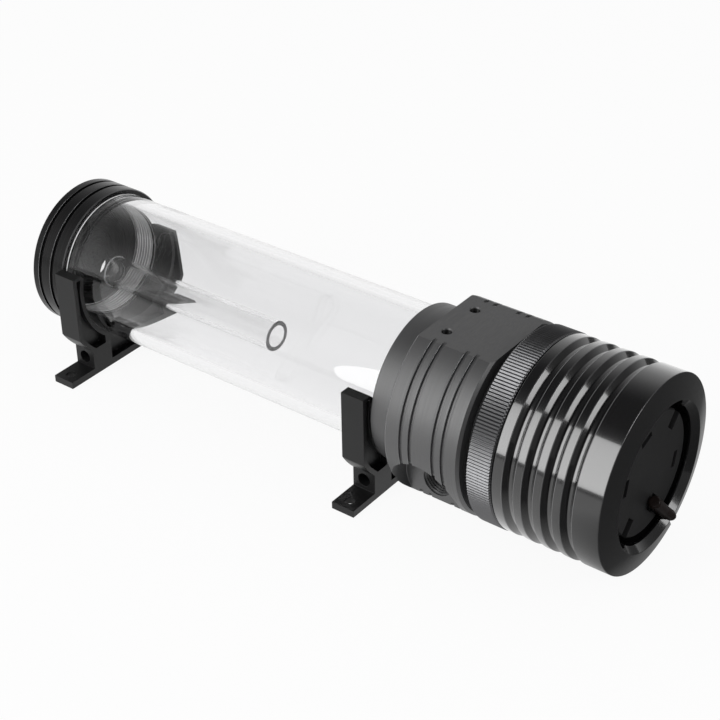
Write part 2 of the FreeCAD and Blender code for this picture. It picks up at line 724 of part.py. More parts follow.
def stator_coils():
    axis = V(0, 0, size("axis_height"))
    outer = number_of(CORE_RADIUS) - size("core_ring_thickness") - size("coil_clearance")
    start = number_of(BALL_PLACE) + size("core_place")
    length = size("core_length")
    width = size("pole_width")
    thick = size("coil_thickness")
    gap = size("core_clearance")
    inner = number_of(BOWL_RADIUS) + size("bowl_wall") + size("coil_clearance")
    deep = outer - inner
    setback = size("pole_setback") - gap
    coils = []
    for index in range(int(size("pole_count"))):
        coil = Part.makeBox(length, deep, width + 2 * thick, V(start, inner, -width / 2 - thick))
        edges = [edge for edge in coil.Edges if abs(edge.Vertexes[0].Y - edge.Vertexes[1].Y) > deep / 2]
        coil = coil.makeFillet(size("coil_rounding"), edges)
        hole = Part.makeBox(length - 2 * setback, deep + 2 * REACH, width + 2 * gap,
                            V(start + setback, inner - REACH, -width / 2 - gap))
        coil = coil.cut(hole)
        coil.rotate(V(0, 0, 0), X_AXIS, index * 360 / size("pole_count"))
        coil.translate(axis)
        coils.append(coil)
    return made("stator_coils", Part.makeCompound(coils))


BOARD_BACK = f"({BALL_PLACE} + Sizes.board_place + Sizes.board_thickness)"


def circuit_board():
    radius = f"{CORE_RADIUS} - Sizes.core_clearance"
    corners = [
        ("0", half("board_hole")), ("0", radius), ("Sizes.board_thickness", radius),
        ("Sizes.board_thickness", half("board_hole")),
    ]
    return turned("circuit_board", corners, x=f"{BOARD_BACK} - Sizes.board_thickness")


def board_parts():
    """A smoothing capacitor, a chip, two drivers and a socket, soldered round the board's back."""
    axis = V(number_of(BOARD_BACK), 0, size("axis_height"))
    circle = size("part_circle")
    pieces = []
    for angle, word, height in ((100, "chip", "thickness"), (170, "driver", "thickness"),
                                (215, "driver", "thickness"), (285, "socket", "height")):
        side = size(f"{word}_side")
        piece = Part.makeBox(size(f"{word}_{height}"), side, side, V(0, circle - side / 2, -side / 2))
        piece.rotate(V(0, 0, 0), X_AXIS, angle)
        pieces.append(piece)
    capacitor = Part.makeCylinder(size("capacitor_outer") / 2, size("capacitor_length"),
                                  V(0, circle, 0), X_AXIS)
    capacitor.rotate(V(0, 0, 0), X_AXIS, 30)
    pieces.append(capacitor)
    for piece in pieces:
        piece.translate(axis)
    return made("board_parts", Part.makeCompound(pieces))


def motor_shell():
    """The motor's outer shell: the band that the ring bears on, and the boss that carries the rear plate."""
    band = BAND_RADIUS
    band_end = "Sizes.motor_band_length"
    outer = MOTOR_RADIUS
    wall = "Sizes.motor_wall"
    inner = f"{outer} - {wall}"
    boss = BOSS_RADIUS
    end = "Sizes.motor_length"
    boss_end = "Sizes.motor_length + Sizes.motor_boss_length"
    corners = [
        ("0", inner), ("0", band), (band_end, band), (band_end, outer), (f"{end} - 1", outer),
        (end, f"{outer} - 1"), (end, boss), (boss_end, boss),
        (boss_end, f"{boss} - {wall}"), (end, f"{boss} - {wall}"), (end, "0"), (f"{end} - {wall}", "0"),
        (f"{end} - {wall}", inner),
    ]
    return turned("motor_shell", corners, x=FLANGE_BACK)


# Retaining ring, with its straight knurl
def retaining_ring():
    """A knurled nut: threaded over the body's neck, with a lip that bears on the motor's band."""
    head_start = number_of(RING_HEAD)
    length = size("ring_head_length")
    axis = V(head_start, 0, size("axis_height"))
    outer = number_of(RING_RADIUS)
    count = int(size("knurl_count"))
    points = []
    for index in range(2 * count):
        angle = math.pi * index / count
        radius = outer - (size("knurl_depth") if index % 2 else 0.0)
        points.append(axis + V(0, radius * math.cos(angle), radius * math.sin(angle)))
    teeth = Part.Face(Part.makePolygon(points + [points[0]])).extrude(V(length, 0, 0))
    edge = size("knurl_depth")
    barrel = Part.makeCylinder(outer, length - 2 * edge, axis + V(edge, 0, 0), X_AXIS)
    for start, low, high in ((0, outer - edge, outer), (length - edge, outer, outer - edge)):
        barrel = barrel.fuse(Part.makeCone(low, high, edge, axis + V(start, 0, 0), X_AXIS))
    head = made("ring_head", teeth.common(barrel))
    thread = rod("ring_thread", f"{NECK_RADIUS} + Sizes.thread_clearance",
                 f"{BAND_END} - {RING_HEAD} + {REACH}", x=f"{RING_HEAD} - {REACH}")
    bore = rod("ring_lip_bore", COVER_BORE, f"Sizes.ring_head_length + {2 * REACH}",
               x=f"{RING_HEAD} - {REACH}")
    return cut("retaining_ring", head, [thread, bore])


# Cable: where it leaves the plate, and its way out through the rim
CABLE_START = V(number_of(f"{PLATE_FRONT} + Sizes.gland_lift"), size("gland_side"),
                size("axis_height") - size("gland_drop"))
CABLE_AIM = V(-0.12, 0.685, -0.717).normalize()
CABLE_FIRST_RUN = 25.5
CABLE_ROUTE = [
    CABLE_START,
    CABLE_START + CABLE_AIM * CABLE_FIRST_RUN,
    V(175.2, 25.9, 3.3),
    V(160.0, 32.0, 2.3),
    V(149.5, 43.0, 2.3),
    V(143.6, 55.0, 2.3),
    V(142.7, 66.0, 2.3),
]
TAIL_ROUTE = [
    V(110.8, 91.2, 6.4),
    V(102.5, 89.6, 3.7),
    V(95.0, 86.4, 3.7),
]


def cable_frame():
    """A placement whose X runs along the cable's first stretch and whose Z is nearest to the part's +X."""
    side = CABLE_AIM.cross(X_AXIS).normalize()
    top = side.cross(CABLE_AIM).normalize()
    rotation = FreeCAD.Rotation(CABLE_AIM, side * -1, top, "XYZ")
    return FreeCAD.Placement(CABLE_START, rotation)


def heatsink_cover():
    outer = COVER_RADIUS
    bore = COVER_BORE
    mouth = f"{MOTOR_RADIUS} + Sizes.cover_mouth_clearance"
    edge = "Sizes.cover_edge"
    length = "Sizes.cover_length"
    starts = [f"Sizes.fin_first + {index} * Sizes.fin_pitch" for index in range(int(size("fin_count")))]
    stop = f"({length} + Sizes.cover_cone - Sizes.cover_mouth_depth)"
    corners = [("0", bore), ("0", f"{outer} - {edge}"), (edge, outer)]
    corners += groove_corners(starts, outer, "Sizes.fin_groove", "Sizes.fin_depth")
    corners += [(length, outer), (f"{length} + Sizes.cover_cone", mouth), (stop, mouth), (stop, bore)]
    blank = turned("cover_blank", corners, x=COVER_START)
    width = size("notch_width")
    reach = number_of(COVER_RADIUS)
    below = size("notch_width") / 2
    tool = Part.makeBox(reach, width, reach, V(size("gland_length"), -width / 2, -below))
    tool.Placement = cable_frame()
    return cut("heatsink_cover", blank, [made("cover_notch", tool)])


def rear_plate():
    """The motor's slotted end plate, with two open slots, three short slots and the cable's trough."""
    axis = V(number_of(PLATE_BACK), 0, size("axis_height"))
    thick = size("plate_thickness")
    radius = number_of(PLATE_RADIUS)
    plate = Part.makeCylinder(radius, thick, axis, X_AXIS)
    middle = axis.x + thick / 2
    rim = [edge for edge in plate.Edges if edge.BoundBox.XMin > middle]
    plate = plate.makeChamfer(size("plate_chamfer"), rim)
    tools = []
    width = size("plate_slot_width")
    arc_width = size("plate_arc_width")
    arc_radius = radius - size("plate_arc_inset")
    for turn in range(6):
        angle = size("plate_slot_angle") + 60 * turn
        if turn == 4:
            continue
        if turn % 3 == 0:
            tool = Part.makeBox(thick + 2 * REACH, radius, width,
                                V(-REACH, radius - size("plate_slot_depth"), -width / 2))
        else:
            tool = Part.makeBox(thick + 2 * REACH, arc_width, size("plate_arc_length"),
                                V(-REACH, arc_radius - arc_width / 2, -size("plate_arc_length") / 2))
        tool.rotate(V(0, 0, 0), X_AXIS, angle)
        tool.translate(axis)
        tools.append(tool)
    play = size("plate_trough_clearance")
    for start, end, across in ((-size("gland_length") - play, play, size("gland_outer")),
                               (0, radius, size("cable_outer"))):
        side = across / 2 + play
        tool = Part.makeBox(end - start, 2 * side, radius, V(start, -side, -side))
        tool.Placement = cable_frame()
        tools.append(tool)
    return made("rear_plate", plate.cut(tools))


def cable_gland():
    """The moulded strain relief that the cable comes out of."""
    length = size("gland_length")
    radius = size("gland_outer") / 2
    taper = size("gland_taper")
    tip = size("cable_outer") / 2 + size("plate_trough_clearance")
    shape = Part.makeCylinder(radius, length - taper, V(-length, 0, 0), X_AXIS)
    shape = shape.fuse(Part.makeCone(radius, tip, taper, V(-taper, 0, 0), X_AXIS))
    shape.Placement = cable_frame()
    return made("cable_gland", shape)


BEND_SHARE = 0.45


def cord_tube(name, route, diameter):
    """A tube of straight runs joined by tangent arcs, each as large as its two runs allow."""
    edges = []
    start = route[0]
    for before, corner, after in zip(route, route[1:], route[2:]):
        into = (corner - before).normalize()
        out = (after - corner).normalize()
        half_turn = into.getAngle(out) / 2
        shorter = min((corner - before).Length, (after - corner).Length)
        setback = BEND_SHARE * shorter
        radius = setback / math.tan(half_turn)
        first = corner - into * setback
        last = corner + out * setback
        middle = corner + (out - into).normalize() * (radius / math.cos(half_turn) - radius)
        edges.append(Part.LineSegment(start, first).toShape())
        edges.append(Part.Arc(first, middle, last).toShape())
        print(f"{name}: arc radius {radius:.1f} mm, turn {math.degrees(2 * half_turn):.0f} degrees")
        start = last
    edges.append(Part.LineSegment(start, route[-1]).toShape())
    path = Part.Wire(edges)
    section = Part.Wire(Part.Circle(route[0], route[1] - route[0], diameter / 2).toShape())
    tube = path.makePipeShell([section], True, False)
    expected = math.pi * diameter ** 2 / 4 * path.Length
    print(f"{name}: length {path.Length:.1f} mm, volume {tube.Volume:.1f}, by section {expected:.1f}")
    return made(name, tube)


def cable_coil():
    """The outer shape of the coiled length: a low ring with rounded corners."""
    cable = size("cable_outer")
    half_width = cable * size("coil_turn_rows") / 2
    height = 2 * cable
    corner = size("coil_corner")
    mean = size("coil_mean_radius")
    inner = mean - half_width
    outer = mean + half_width
    low = size("coil_lift")
    points = [
        V(inner + corner, 0, low), V(outer - corner, 0, low),
        V(outer, 0, low + corner), V(outer, 0, height - corner),
        V(outer - corner, 0, height), V(inner + corner, 0, height),
        V(inner, 0, height - corner), V(inner, 0, low + corner),
    ]
    ring = Part.Face(Part.makePolygon(points + [points[0]])).revolve(V(0, 0, 0), Z_AXIS, 360)
    feature = made("cable_coil", ring)
    feature.Placement = FreeCAD.Placement(V(size("coil_center_x"), size("coil_center_y"), 0), UPRIGHT)
    return feature


def plug_frame():
    """A placement at the cable's far end, with X pointing out of the plug."""
    aim = (TAIL_ROUTE[-1] - TAIL_ROUTE[-2]).normalize()
    aim.z = 0
    side = Z_AXIS.cross(aim.normalize())
    return FreeCAD.Placement(TAIL_ROUTE[-1], FreeCAD.Rotation(aim, side, Z_AXIS, "XYZ"))


def power_plug():
    """A four way socket housing with two polarising ribs."""
    length, width, height = size("connector_length"), size("connector_width"), size("connector_height")
    body = Part.makeBox(length, width, height, V(0, -width / 2, -height / 2))
    pitch = size("pin_pitch")
    count = int(size("pin_count"))
    setback = size("connector_setback")
    rib_width = size("connector_rib_width")
    for side in (-1, 1):
        rib = Part.makeBox(length - 2 * setback, rib_width, height / 2 + size("connector_rib_height"),
                           V(setback, side * pitch - rib_width / 2, 0))
        body = body.fuse(rib)
    hole = size("pin_width") + 2 * size("pin_clearance")
    for index in range(count):
        across = (index - (count - 1) / 2) * pitch
        start = length - size("pin_length") - setback
        body = body.cut(Part.makeBox(length, hole, hole, V(start, across - hole / 2, -hole / 2)))
    body.Placement = plug_frame()
    return made("power_plug", body)


def plug_contacts():
    """The four metal contacts inside the plug's ways."""
    length = size("connector_length")
    pitch = size("pin_pitch")
    count = int(size("pin_count"))
    width = size("pin_width")
    start = length - size("pin_length") - size("connector_setback")
    contacts = []
    for index in range(count):
        across = (index - (count - 1) / 2) * pitch
        contact = Part.makeBox(size("pin_length"), width, width, V(start, across - width / 2, -width / 2))
        contact.Placement = plug_frame()
        contacts.append(contact)
    return made("plug_contacts", Part.makeCompound(contacts))


# Base clamps
def clamp(name, side):
    """A moulded clamp: a split ring on a block and a foot, with pockets, foot holes and side holes."""
    middle = f"({side} * Sizes.clamp_pitch / 2)"
    start = f"{middle} - Sizes.clamp_width / 2"
    width = "Sizes.clamp_width"
    top = "Sizes.clamp_top"
    bore = "Sizes.tube_outer / 2 + Sizes.clamp_bore_clearance"
    ring_radius = half("clamp_ring_outer")

    def slab(word, span, low, high):
        return block(f"{name}_{word}", width, span, f"{high} - {low}", x=start, y=f"-({span}) / 2", z=low)

    def pair(word, low_y, high_y, low, high, face):
        """Matching boxes on both sides of the middle, sunk in one face of the clamp."""
        boxes = []
        depth = "Sizes.clamp_pocket_depth"
        x = f"{start} - {REACH}" if face < 0 else f"{start} + {width} - {depth}"
        for mirror in (-1, 1):
            near = low_y if mirror > 0 else f"-({high_y})"
            boxes.append(block(f"{name}_{word}_{mirror + 2}_{face + 2}", f"{depth} + {REACH}",
                               f"{high_y} - ({low_y})", f"{high} - ({low})", x=x, y=near, z=low))
        return boxes

    ring = rod(f"{name}_ring", ring_radius, width, x=start)
    trimmed = common(f"{name}_arms", [ring, slab("trim", "Sizes.clamp_span", "Sizes.foot_height", top)])
    solid = fused(f"{name}_solid", [
        trimmed,
        slab("block", "Sizes.block_span", "0", "Sizes.block_height"),
        slab("foot", "Sizes.foot_span", "0", "Sizes.foot_height"),
    ])
    cuts = [rod(f"{name}_bore", bore, f"{width} + {2 * REACH}", x=f"{start} - {REACH}")]
    for mirror in (-1, 1):
        where = {"x": middle, "y": f"{mirror} * {FOOT_HOLE_PLACE}"}
        cuts.append(rod(f"{name}_foot_hole_{mirror + 2}", half("foot_hole"),
                        f"Sizes.foot_height + {2 * REACH}", z=f"-{REACH}", rotation=UPRIGHT, **where))
        rotation = FreeCAD.Rotation(X_AXIS, 90 * -mirror)
        cuts.append(rod(f"{name}_side_hole_{mirror + 2}", half("side_hole"),
                        f"Sizes.side_hole_depth + {REACH}", x=middle,
                        y=f"{mirror} * (Sizes.block_span / 2 - Sizes.side_hole_depth)",
                        z="Sizes.side_hole_height", rotation=rotation))
        tip = block(f"{name}_tip_{mirror + 2}", f"{width} + {2 * REACH}", "2 * Sizes.clamp_tip",
                    "2 * Sizes.clamp_tip", x=f"{start} - {REACH}",
                    y=f"{mirror} * sqrt(({bore}) ^ 2 - ({top} - Sizes.axis_height) ^ 2)",
                    z=f"{top} - Sizes.clamp_tip * sqrt(2)", rotation=FreeCAD.Rotation(X_AXIS, 45))
        cuts.append(tip)
    for face in (-1, 1):
        depth = "Sizes.clamp_pocket_depth"
        x = f"{start} - {REACH}" if face < 0 else f"{start} + {width} - {depth}"
        rim = rod(f"{name}_rim_{face + 2}", f"{bore} + Sizes.clamp_rim", f"{depth} + {2 * REACH}",
                  x=f"{x} - {REACH / 2}")
        outline = rod(f"{name}_outline_{face + 2}", f"{ring_radius} - Sizes.clamp_wall",
                      f"{depth} + {REACH}", x=x)
        arms = fused(f"{name}_arm_boxes_{face + 2}",
                     pair("arm", "Sizes.clamp_rib_outer", "Sizes.clamp_span / 2 - Sizes.clamp_wall",
                          "Sizes.clamp_pocket_floor", f"{top} - Sizes.clamp_top_wall", face))
        arm_shape = common(f"{name}_arm_shape_{face + 2}", [arms, outline])
        cuts.append(cut(f"{name}_arm_pocket_{face + 2}", arm_shape, [rim]))
        middle_box = block(f"{name}_middle_box_{face + 2}", f"{depth} + {REACH}", "2 * Sizes.clamp_rib_inner",
                           "Sizes.axis_height", x=x, y="-Sizes.clamp_rib_inner", z="Sizes.foot_height")
        rim_again = rod(f"{name}_rim_low_{face + 2}", f"{bore} + Sizes.clamp_rim", f"{depth} + {2 * REACH}",
                        x=f"{x} - {REACH / 2}")
        cuts.append(cut(f"{name}_middle_pocket_{face + 2}", middle_box, [rim_again]))
    return cut(name, solid, cuts)


nodes = {
    "end_cap": end_cap(),
    "end_cap_oring": seal_ring("end_cap_oring", "Sizes.seal_mid_radius",
                               f"{CAP_FLOOR} - Sizes.seal_groove_depth"),
    "fill_plug": fill_plug(),
    "fill_plug_oring": fill_plug_oring(),
    "return_pipe": return_pipe(),
    "reservoir_tube": reservoir_tube(),
    "pump_top_oring": seal_ring("pump_top_oring", "Sizes.seal_mid_radius", TUBE_END),
    "pump_top": pump_top(),
    "motor_oring": seal_ring("motor_oring", MOTOR_SEAL_RADIUS, BODY_END),
    "motor_housing": motor_housing(),
    "bearing_post": bearing_post(),
    "bearing_ball": bearing_ball(),
    "bearing_cup": bearing_cup(),
    "rotor_magnet": rotor_magnet(),
    "impeller": impeller(),
    "stator_core": stator_core(),
    "stator_coils": stator_coils(),
    "circuit_board": circuit_board(),
    "board_parts": board_parts(),
    "motor_shell": motor_shell(),
    "retaining_ring": retaining_ring(),
    "heatsink_cover": heatsink_cover(),
    "rear_plate": rear_plate(),
    "cable_gland": cable_gland(),
    "pump_cable": cord_tube("pump_cable", CABLE_ROUTE, size("cable_outer")),
    "cable_coil": cable_coil(),
    "cable_tail": cord_tube("cable_tail", TAIL_ROUTE, size("cable_outer")),
    "power_plug": power_plug(),
    "plug_contacts": plug_contacts(),
    "clamp_cap_end": clamp("clamp_cap_end", -1),
    "clamp_pump_end": clamp("clamp_pump_end", 1),
}

doc.recompute()
for thing in doc.Objects:
    if any(state in ("Invalid", "Error") for state in thing.State):
        raise RuntimeError(f"{thing.Name} did not compute: {thing.State}")
for label, node in nodes.items():
    node.Label = label
    if node.Shape.isNull() or not node.Shape.isValid():
        raise RuntimeError(f"{label} has no valid shape")
for label, node in nodes.items():
    node.Shape.exportStep(f"parts/{label}.step")
    box = node.Shape.BoundBox
    print(f"{label:18s} {len(node.Shape.Solids)} solid(s) {node.Shape.Volume:10.1f} mm3 "
          f"x {box.XMin:.1f}..{box.XMax:.1f} y {box.YMin:.1f}..{box.YMax:.1f} "
          f"z {box.ZMin:.1f}..{box.ZMax:.1f}")
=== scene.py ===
# %% [markdown]
# A coolant pump reservoir, dressed for its portrait. A clear tube is screwed between a black end cap and a
# black machined pump body. A knurled ring holds the motor in that body, and a finned cover hides the motor.
# Two moulded clamps carry it all. FreeCAD made the solids, in millimetres, and this lesson gives them their
# finish in metres.
#
# Most of these pieces were turned on a lathe. A turned piece is one outline swept once round an axis, so
# one numpy function can make nearly all of them. We give it better corners than the solids have, because it
# is the small rounded corners of a black part that catch the light.

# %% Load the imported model
import json
import math

import bmesh
import bpy
import numpy as np
from mathutils import Matrix, Vector

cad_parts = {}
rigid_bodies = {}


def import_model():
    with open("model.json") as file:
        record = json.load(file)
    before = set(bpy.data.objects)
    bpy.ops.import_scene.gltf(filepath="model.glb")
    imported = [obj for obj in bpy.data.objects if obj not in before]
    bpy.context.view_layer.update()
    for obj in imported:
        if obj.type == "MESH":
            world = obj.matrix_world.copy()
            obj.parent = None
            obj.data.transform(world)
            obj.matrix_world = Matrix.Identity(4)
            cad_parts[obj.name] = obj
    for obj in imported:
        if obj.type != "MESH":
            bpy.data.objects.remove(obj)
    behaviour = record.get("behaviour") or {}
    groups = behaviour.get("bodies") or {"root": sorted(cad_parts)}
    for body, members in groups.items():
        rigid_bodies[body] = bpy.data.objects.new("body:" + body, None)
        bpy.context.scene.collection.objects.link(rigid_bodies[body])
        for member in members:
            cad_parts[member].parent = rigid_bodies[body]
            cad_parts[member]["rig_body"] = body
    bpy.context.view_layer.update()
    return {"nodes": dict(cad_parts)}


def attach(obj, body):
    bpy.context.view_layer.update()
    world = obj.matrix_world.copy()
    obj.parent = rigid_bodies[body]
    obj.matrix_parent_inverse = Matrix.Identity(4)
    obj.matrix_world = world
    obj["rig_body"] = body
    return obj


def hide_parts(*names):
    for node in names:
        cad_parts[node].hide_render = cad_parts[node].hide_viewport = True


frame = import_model()
nodes = frame["nodes"]
scene = bpy.context.scene
MM = 0.001
AXIS_HEIGHT = 41.0

# %% [markdown]
# The photographer stood to the right and above, with a long lens. Four numbers place such a camera: the
# point it looks at, how far away it stands, and two angles. A fifth, a small roll, levels the picture as
# the photograph is.

# %% Camera
LOOK_AT = Vector((53.23, 0.0, 39.94)) * MM
DISTANCE = 692.47 * MM
AZIMUTH, ELEVATION, ROLL = (math.radians(value) for value in (37.540, 32.945, -0.888))
LENS, SENSOR = 86.63, 36.0


def bearing_of(turn, lift):
    """The direction from the part towards a place: (sin t cos l, -cos t cos l, sin l)."""
    return Vector((math.sin(turn) * math.cos(lift), -math.cos(turn) * math.cos(lift), math.sin(lift)))


back = bearing_of(AZIMUTH, ELEVATION)
level = Vector((math.cos(AZIMUTH), math.sin(AZIMUTH), 0.0))
up = back.cross(level)
right = math.cos(ROLL) * level + math.sin(ROLL) * up
up = math.cos(ROLL) * up - math.sin(ROLL) * level

camera_data = bpy.data.cameras.new("camera")
camera_data.sensor_width = SENSOR
camera_data.lens = LENS
camera_data.clip_start = 0.02
camera_data.clip_end = 20.0
camera = bpy.data.objects.new("camera", camera_data)
camera.rotation_mode = "QUATERNION"
camera.rotation_quaternion = Matrix((right, up, back)).transposed().to_quaternion()
camera.location = LOOK_AT + DISTANCE * back
scene.collection.objects.link(camera)
scene.camera = camera
print("camera stands at", tuple(round(value / MM) for value in camera.location), "mm")

# %% [markdown]
# A material is a small graph of nodes, and a graph written as code is soon hard to read. A few helpers keep
# it short: one makes a material, one adds a node, one does a sum, and one carries a value from one range to
# another.

# %% Small helpers for materials
def new_material(name):
    """A material with its Principled shader: returns the material, its node tree and the shader."""
    material = bpy.data.materials.new(name)
    material.use_nodes = True
    tree = material.node_tree
    return material, tree, tree.nodes["Principled BSDF"]


def add(tree, kind, **settings):
    """A node with its settings, by name."""
    node = tree.nodes.new(kind)
    for key, value in settings.items():
        setattr(node, key, value)
    return node


def fill_inputs(tree, node, values):
    """Links the sockets among the values to a node's inputs, in order, and sets the numbers."""
    for index, value in enumerate(values):
        if isinstance(value, (int, float)):
            node.inputs[index].default_value = value
        else:
            tree.links.new(value, node.inputs[index])
    return node.outputs[0]


def math_node(tree, operation, first, second=0.0):
    """One Math node, whose inputs are sockets or numbers."""
    return fill_inputs(tree, add(tree, "ShaderNodeMath", operation=operation), (first, second))


def grey(level):
    """A colour without a hue, with full alpha."""
    return (level, level, level, 1.0)


def spread(tree, value, low, high, from_low=0.3, from_high=0.7):
    """A value carried from one range to another."""
    node = add(tree, "ShaderNodeMapRange")
    tree.links.new(value, node.inputs["Value"])
    for key, number in (("From Min", from_low), ("From Max", from_high), ("To Min", low), ("To Max", high)):
        node.inputs[key].default_value = number
    return node.outputs[0]


# %% [markdown]
# A studio is a pale floor, two soft lamps and dark space above. The camera, mirrors and glass see the floor
# as white paper, and the rest of the light falls on it plainly, so that it keeps the shadow of the
# reservoir. Black gloss mirrors all that is round it. So mirrors see the paper end in front, and a little to
# the right of the pump, where the dark end is partly the studio's edge and partly a painted shadow of the
# pump.

# %% Floor
HALF_SIDE = 6.0
PAPER_END_AND_SHADOW_RIGHT = (0.135, 0.195)
FRONT_END = (-0.60, -0.40)
SEEN_PLAINLY, SEEN_THROUGH_GLASS = 0.93, 0.45


def make_floor():
    """A square on z = 0. In mirrors its glow fades from 1 to nearly 0 over each of the two ends."""
    mesh = bpy.data.meshes.new("floor")
    corners = [(-HALF_SIDE, -HALF_SIDE, 0.0), (HALF_SIDE, -HALF_SIDE, 0.0), (HALF_SIDE, HALF_SIDE, 0.0),
               (-HALF_SIDE, HALF_SIDE, 0.0)]
    mesh.from_pydata(corners, [], [(0, 1, 2, 3)])
    floor = bpy.data.objects.new("floor", mesh)
    scene.collection.objects.link(floor)
    material, tree, shader = new_material("studio_floor")
    shader.inputs["Base Color"].default_value = grey(0.82)
    shader.inputs["Roughness"].default_value = 0.9
    glow = add(tree, "ShaderNodeEmission")
    rays = add(tree, "ShaderNodeLightPath")
    place = add(tree, "ShaderNodeTexCoord")
    split = add(tree, "ShaderNodeSeparateXYZ")
    tree.links.new(place.outputs["Object"], split.inputs[0])
    # In mirrors the floor darkens just right of the pump: partly the studio's edge, partly a painted shadow
    # of the pump.
    right_side = spread(tree, split.outputs[0], 1.0, 0.05, *PAPER_END_AND_SHADOW_RIGHT)
    front_edge = spread(tree, split.outputs[1], 0.10, 1.0, *FRONT_END)
    lit = math_node(tree, "MINIMUM", right_side, front_edge)
    unlit = math_node(tree, "MULTIPLY", rays.outputs["Is Glossy Ray"], math_node(tree, "SUBTRACT", 1.0, lit))
    tree.links.new(math_node(tree, "SUBTRACT", 1.0, unlit), glow.inputs["Strength"])
    seen = math_node(tree, "MAXIMUM", rays.outputs["Is Camera Ray"], rays.outputs["Is Glossy Ray"])
    straight = math_node(tree, "MULTIPLY", seen, SEEN_PLAINLY)
    bent = math_node(tree, "MULTIPLY", rays.outputs["Is Transmission Ray"], SEEN_THROUGH_GLASS)
    share = math_node(tree, "MAXIMUM", straight, bent)
    mix = add(tree, "ShaderNodeMixShader")
    tree.links.new(share, mix.inputs[0])
    tree.links.new(shader.outputs[0], mix.inputs[1])
    tree.links.new(glow.outputs[0], mix.inputs[2])
    tree.links.new(mix.outputs[0], tree.nodes["Material Output"].inputs["Surface"])
    mesh.materials.append(material)
    return floor


print("floor:", make_floor().name, "of", 2.0 * HALF_SIDE, "m")

# %% [markdown]
# The backdrop is white at the horizon and dark overhead, where a studio has nothing. Only the rays of the
# camera, of mirrors and of glass see it so. All others see one plain level, which lights the floor evenly.

# %% Sky
WORLD_LEVEL = 0.55
SKY_LEVELS = ((0.0, 1.0), (0.22, 0.85), (0.55, 0.62), (0.75, 0.27), (0.88, 0.07))


def make_world():
    """The ray's height, 0 at the horizon and 1 overhead, gives the level by a ramp. A second factor falls
    from 1 to a quarter towards +X, the side that the cover's mouth mirrors."""
    world = bpy.data.worlds.new("studio")
    scene.world = world
    world.use_nodes = True
    tree = world.node_tree
    coordinates = add(tree, "ShaderNodeTexCoord")
    split = add(tree, "ShaderNodeSeparateXYZ")
    tree.links.new(coordinates.outputs["Generated"], split.inputs[0])
    ramp = add(tree, "ShaderNodeValToRGB")
    stops = ramp.color_ramp.elements
    for index, (height, level) in ((0, SKY_LEVELS[0]), (1, SKY_LEVELS[-1])):
        stops[index].position = height
        stops[index].color = grey(level)
    for height, level in SKY_LEVELS[1:-1]:
        stops.new(height).color = grey(level)
    tree.links.new(split.outputs["Z"], ramp.inputs[0])
    sky = tree.nodes["Background"]
    tree.links.new(ramp.outputs[0], sky.inputs["Color"])
    right_side = spread(tree, split.outputs["X"], 1.0, 0.25, 0.10, 0.55)
    tree.links.new(right_side, sky.inputs["Strength"])
    plain = add(tree, "ShaderNodeBackground")
    plain.inputs["Color"].default_value = grey(1.0)
    plain.inputs["Strength"].default_value = WORLD_LEVEL
    rays = add(tree, "ShaderNodeLightPath")
    seen = math_node(tree, "MAXIMUM", rays.outputs["Is Camera Ray"], rays.outputs["Is Glossy Ray"])
    seen = math_node(tree, "MAXIMUM", seen, rays.outputs["Is Transmission Ray"])
    mix = add(tree, "ShaderNodeMixShader")
    tree.links.new(seen, mix.inputs[0])
    tree.links.new(plain.outputs[0], mix.inputs[1])
    tree.links.new(sky.outputs[0], mix.inputs[2])
    tree.links.new(mix.outputs[0], tree.nodes["World Output"].inputs["Surface"])
    return world


print("sky:", make_world().name, "with", len(SKY_LEVELS), "levels")

# %% [markdown]
# The long bright band on the gloss cover is the mirror image of one soft box. Its place was found
# backwards: at a point in the band the surface's normal is known, so the ray from the camera can be bounced
# off it, and it must hit the lamp. That box stands in front and a little to the left, and reaches from the
# table up to fifty degrees. A second, small one on the right lights the mouth of the cover. Rays that have
# passed through the acrylic don't see them, because the images of the lamps would hide half of the tube.

# %% Lamps
AIM = Vector((95.0, 0.0, AXIS_HEIGHT)) * MM
LAMP_DISTANCE = 1.3


def soft_box(name, azimuth, elevation, width, height, power):
    """A rectangular lamp that faces the pump from a bearing, measured as the camera's is."""
    bearing = bearing_of(math.radians(azimuth), math.radians(elevation))
    data = bpy.data.lights.new(name, "AREA")
    data.shape = "RECTANGLE"
    data.size, data.size_y = width, height
    data.energy = power
    lamp = bpy.data.objects.new(name, data)
    lamp.location = AIM + bearing * LAMP_DISTANCE
    lamp.rotation_mode = "QUATERNION"
    lamp.rotation_quaternion = bearing.to_track_quat("Z", "Y")
    lamp.visible_transmission = False
    scene.collection.objects.link(lamp)
    return lamp


soft_box("key_box", -20.6, 25.0, 0.56, 1.27, 10.6)
soft_box("side_box", 97.0, 29.0, 0.62, 0.36, 3.2)

# %% [markdown]
# An outline is a list of corners: the place along the axis, the radius and the size of the rounding there.
# Each rounding is an arc that touches both of its sides, as a real tool leaves it.

